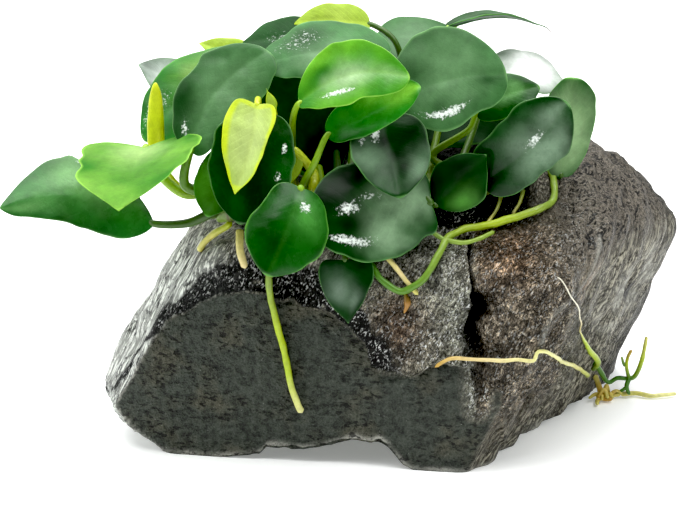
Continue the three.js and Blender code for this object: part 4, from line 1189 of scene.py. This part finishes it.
# %% Paint the leaves
def paint_leaf(name, roughness, coat, vein_light):
    """A wet leaf in the colour of its tint, glossier the larger its gloss is."""
    paint = Paint(name)
    place = paint.place()
    side = paint.attribute("side").size()
    share = paint.attribute("share")
    lines = (share * VEIN_COUNT - side * VEIN_SLANT + 50).fraction() - 0.5
    vein = lines.size().step(0.14, 0.02) * side.step(0.95, 0.6)
    cells = paint.noise(place, 0.5, 3)
    mottle = paint.noise(place, 2.4, 4, 0.6)
    painted_glint = paint.attribute("painted_glint")
    gloss = paint.attribute("gloss")
    strokes = paint.noise(place, 0.9, 4, 0.7, 1.5)
    # Painted highlights: white crumbs where the streaks are, raised a little by the bump.
    painted_glint_dots = (paint.noise(place, 0.5, 4, 0.65) + 0.5 * painted_glint).step(0.76, 0.98)
    painted_glint_dots = painted_glint_dots * painted_glint.step(0.1, 0.4)
    colour = paint.attribute("tint", "Color")
    colour = paint.shade(colour, 0.47 + 0.7 * mottle + 0.34 * strokes + vein_light * vein)
    colour = paint.mix(painted_glint_dots * 0.85, colour, (0.85, 0.92, 0.86))
    height = 0.25 * cells + 0.5 * mottle + 0.4 * strokes - 0.08 * vein + 0.6 * painted_glint_dots
    return paint.finish({
        "Base Color": colour,
        "Roughness": roughness + 0.15 * mottle + 0.35 * (1 - gloss),
        "Specular IOR Level": 0.12,
        "Coat Weight": 0.5 * coat * gloss,
        "Coat Roughness": 0.28,
        "Coat IOR": 1.4,
        "Normal": paint.bump(height, 0.12, 0.9)})


leaf_materials = {
    name: paint_leaf("leaf_" + name, *numbers) for name, numbers in {
        "dark": (0.2, 0.7, 0.05), "grey": (0.3, 0.4, 0), "mid": (0.2, 0.7, 0.06),
        "light": (0.3, 0.35, 0.05), "young": (0.32, 0.25, 0.08)}.items()}
stalk_material = paint_skin("leaf_stalk", 0.42, 0.12, 0.6)

# %% Make the leaves
for number, (node, leaf) in enumerate(LEAVES.items()):
    piece = add_piece(node + "_blade", [blade_skin(leaf, 100 + 7 * number), stalk_skin(leaf)],
                      [leaf_materials[leaf["finish"]], stalk_material])
    settle(piece, node)
print("made", len(LEAVES), "leaves of", len(piece.data.polygons), "faces each")

# %% [markdown]
# ## The roots
#
# The roots run over the wood in the places where the plain ones lie. There they stood clear
# of it; here they lie down on its carved surface. A root is stiff, so it bridges hollows:
# its height over the wood's centre is the greatest within a few millimetres, smoothed. Its
# colour changes along it, from green near the plant to the pale growing end.

# %% The table of roots
ROOT_COLOURS = {
    "green": (0.05, 0.17, 0.012), "olive": (0.22, 0.33, 0.04), "lime": (0.38, 0.5, 0.015),
    "pale": (0.72, 0.7, 0.28), "cream": (0.66, 0.55, 0.26), "white": (0.75, 0.72, 0.58),
    "amber": (0.5, 0.3, 0.05), "straw": (0.6, 0.56, 0.14), "moss": (0.08, 0.19, 0.01),
    "bark": (0.12, 0.12, 0.02), "rust": (0.32, 0.16, 0.03),
}
ROOTS = {
    "root_front_hanging": dict(radius=(0.62, 0.68), colours="moss olive lime lime pale", path=[
        (-12.8, -20.5, 44.5), (-12.8, -20.3, 40), (-12, -20.3, 32.8), (-10.6, -20.7, 26.4),
        (-8.9, -21.1, 18), (-6.8, -21.7, 10.8)]),
    "root_short_centre": dict(radius=(0.85, 0.7), colours="straw cream", path=[
        (-20.6, -19, 47.5), (-20.6, -21, 44.5), (-20.2, -23, 40.5)]),
    "root_short_left": dict(radius=(0.75, 0.65), colours="lime straw straw", path=[
        (-21.4, -16, 47.5), (-24.6, -15, 43.5), (-26.6, -14, 40.5)]),
    "root_loop": dict(radius=(0.66, 0.74, 0.68, 0.62), waver=0.25,
        colours="olive olive lime olive moss green", path=[
        (39.8, -5, 53.5), (40.6, -11.6, 50.4), (38, -14.4, 49), (31, -18, 48), (24, -20, 47.4),
        (20.4, -21, 45.4), (18, -23, 42), (15.6, -25, 38.6), (11.4, -26, 36.8), (8, -25, 38.6),
        (5.4, -23, 41.6)]),
    "root_curl": dict(radius=(0.5, 0.4), lift=2.1, colours="moss olive olive", path=[
        (15.2, -20, 48.6), (18.6, -21, 45.4), (22, -21, 44), (26, -20, 44.6), (29, -19, 46)]),
    "root_pale": dict(radius=(0.5, 0.46), colours="straw cream straw", brown_tip=[
        (12.2, -26.5, 36.6), (12.8, -26.8, 34.4), (12.2, -26.8, 32.4)], path=[
        (8.4, -23, 43), (11, -25, 40.4), (13, -26, 38), (14.8, -26.4, 36)]),
    "root_thin_left": dict(radius=(0.4, 0.3), colours="olive straw", path=[
        (32.6, -12, 53.4), (31, -15, 50.6), (29, -19, 48.5)]),
    "root_thin_right": dict(radius=(0.4, 0.3), colours="olive straw", path=[
        (37.2, -10.6, 53.6), (35.8, -13.4, 51.2), (34.1, -16, 49.4)]),
    "root_cross": dict(radius=(0.36, 0.42), lift=0.65,
        colours="amber cream pale pale pale straw lime", path=[
        (17.5, -26, 22.6), (19.9, -26.5, 24), (24.2, -26.5, 24.2), (28.5, -25.5, 24.4),
        (31.2, -26.5, 24.7), (34.6, -26.4, 24), (35.9, -26.6, 25.4), (39.1, -24, 23.8),
        (41.6, -15.9, 19.5), (45.2, -5.8, 14.7), (49.3, 4.4, 8.6)]),
    "root_fine": dict(radius=(0.13, 0.14, 0.17, 0.6, 0.55), waver=0.05,
        colours="white white cream lime lime moss", path=[
        (37.8, -26.3, 39.2), (39, -26.2, 38.5), (40.6, -25.5, 35.2), (42.4, -21.6, 31),
        (44.9, -13.4, 24.8), (47.3, -5, 18.6), (50, 3.2, 12.6), (51.4, 8.6, 8.2)]),
}
ROOT_LIFT = 0.4
CLEARANCE = 0.45

# %% Lay a root on the wood
ROOT_AROUND = 12
ROOT_STEP = 0.5
WAVER = 0.16
BRIDGE = 7


def over_bridge(values, rule):
    """The rule, such as the greatest, over each value and BRIDGE neighbours at both sides."""
    padded = np.pad(values, BRIDGE, mode="edge")
    return rule(np.lib.stride_tricks.sliding_window_view(padded, 2 * BRIDGE + 1), axis=1)


def lay_root(root):
    """The root's path: on the plain block first, then let down onto the carved surface."""
    thickest = max(root["radius"])
    lift = thickest + CLEARANCE + root.get("lift", ROOT_LIFT)
    rough_path = on_wood(smooth_path(root["path"], 200), lift)
    length = step_lengths(rough_path).sum()
    path = on_wood(smooth_path(root["path"], max(24, round(length / ROOT_STEP))), lift)
    aims = unit(path - WOOD_CENTRE)
    surface = np.linalg.norm(carve_wood(aims)[0] - WOOD_CENTRE, axis=1)
    level = over_bridge(over_bridge(surface, np.max), np.mean)
    off_wood = root.get("lift", 0) * (root.get("lift", 0) > 1)
    lowered = WOOD_CENTRE + aims * (level + 0.75 * thickest + 0.7 * off_wood)[:, None]
    return lowered, length


def root_skin(path, radius, colours, seed, waver=WAVER):
    """A root along a path: its radius wavers by a tenth, and both its ends are rounded."""
    share = np.linspace(0, 1, len(path))
    length = step_lengths(path).sum()
    path = path + waver * np.stack([cloud(path, 2.4, seed + k) for k in range(3)], axis=1)
    radii = np.interp(share, np.linspace(0, 1, len(radius)), radius)
    radii = radii * (1 + 0.12 * cloud(path, 1.5, seed + 5))
    to_end = np.minimum(share, 1 - share) * length / max(radius)
    radii = radii * np.sqrt(1 - np.clip(1 - to_end, 0, 0.985) ** 2)
    names = colours.split()
    tint = ramp(share, [(stop, ROOT_COLOURS[name])
                        for stop, name in zip(np.linspace(0, 1, len(names)), names)])
    return {"points": tube_points(path, radii, ROOT_AROUND),
            "faces": skin_faces(len(path), ROOT_AROUND), "tint": per_ring(tint, ROOT_AROUND)}


# %% Make the roots
root_material = paint_skin("living_root", 0.42, 0.25, 0.7)
for number, (node, root) in enumerate(ROOTS.items()):
    path, length = lay_root(root)
    skins = [root_skin(path, root["radius"], root["colours"], 300 + 11 * number,
                       root.get("waver", WAVER))]
    if "brown_tip" in root:
        tip_path = lay_root({**root, "path": root["brown_tip"]})[0]
        skins.append(root_skin(tip_path, (0.2, 0.65, 0.2), "bark rust rust", 290, 0.1))
    piece = add_piece(node + "_skin", skins, [root_material])
    settle(piece, node)
    print(node, "is", round(float(length), 1), "mm long")

# %% [markdown]
# ## The tuft of root ends
#
# At the right the longest roots leave the wood and end in a tuft on the ground: a green
# forked one that stands up, a yellow one that lies along the ground, and a knot of short
# amber rootlets where they come out. The knot's rootlets are all alike, so a loop makes
# them, each turned by the golden angle from the one before.

# %% Make the tuft
TUFT_RADIUS = 0.6
TUFT = [
    ("moss green green", 1.0,
     [(52.1, 8.2, 9.8), (53.8, 9.6, 7.3), (56, 12, 3.7), (57.7, 12.4, 4.4), (60.2, 12, 4.6)]),
    ("green lime straw", 0.9,
     [(60.2, 12, 4.6), (61.2, 12, 4.9), (62.2, 12, 6.9), (62.9, 12, 10.4), (63.5, 12, 13.9)]),
    ("green lime amber", 0.75,
     [(60.2, 12, 4.6), (59.4, 12, 7.3), (59.8, 12.2, 9.1), (60.5, 12.4, 10.8)]),
    ("green olive", 0.55, [(59.4, 12, 7.1), (58.8, 11.8, 8.2), (58.3, 11.6, 9.4)]),
    ("green green", 0.9, [(60.2, 12, 4.8), (59.8, 12, 2.9), (60.4, 12, 0.9)]),
    ("green green", 0.7, [(60, 12, 2.9), (58.8, 12, 1.9), (57.4, 12, 0.9)]),
    ("straw straw pale pale", 0.9,
     [(58.6, 12.4, 0.9), (61.4, 13, 0.8), (65.1, 11.8, 0.8), (70.4, 12.8, 0.8)]),
    ("straw amber amber", 1.1, [(53, 11.6, 5.4), (54, 11, 3), (54.4, 10, 1), (56.6, 9.4, 0.9)]),
    ("amber straw", 1.1, [(54.2, 11, 2), (55.8, 11.6, 1), (58.6, 12, 0.9)]),
    ("amber straw", 0.9, [(54.4, 10.4, 1.2), (53.4, 8.6, 0.9), (53.2, 7, 0.8)]),
]
ROOTLETS = 9
ROOTLET_LENGTH = 3.4
GOLDEN_ANGLE = math.radians(137.5)

tuft_skins = []
for number, (colours, share, places) in enumerate(TUFT):
    path = smooth_path(places, 20 * len(places))
    radii = (TUFT_RADIUS * share, TUFT_RADIUS * share * 0.72)
    tuft_skins.append(root_skin(path, radii, colours, 500 + 13 * number))
for number in range(ROOTLETS):
    start = np.array([53.6 + 0.32 * number, 9.4 + 0.22 * number, 1.0])
    heading = GOLDEN_ANGLE * number
    step = ROOTLET_LENGTH * (0.6 + 0.4 * math.sin(5 * number)) * np.array(
        [math.cos(heading), math.sin(heading), 0])
    rise = np.array([0, 0, 0.9 if number % 3 else 2.2])
    path = smooth_path([start, start + 0.5 * step + rise, start + step], 24)
    path[:, 2] = np.maximum(path[:, 2], 0.5)
    tuft_skins.append(root_skin(path, (0.5, 0.3), "amber straw", 700 + 17 * number))
tuft = add_piece("root_tuft_skin", tuft_skins, [root_material])
settle(tuft, "root_tuft")
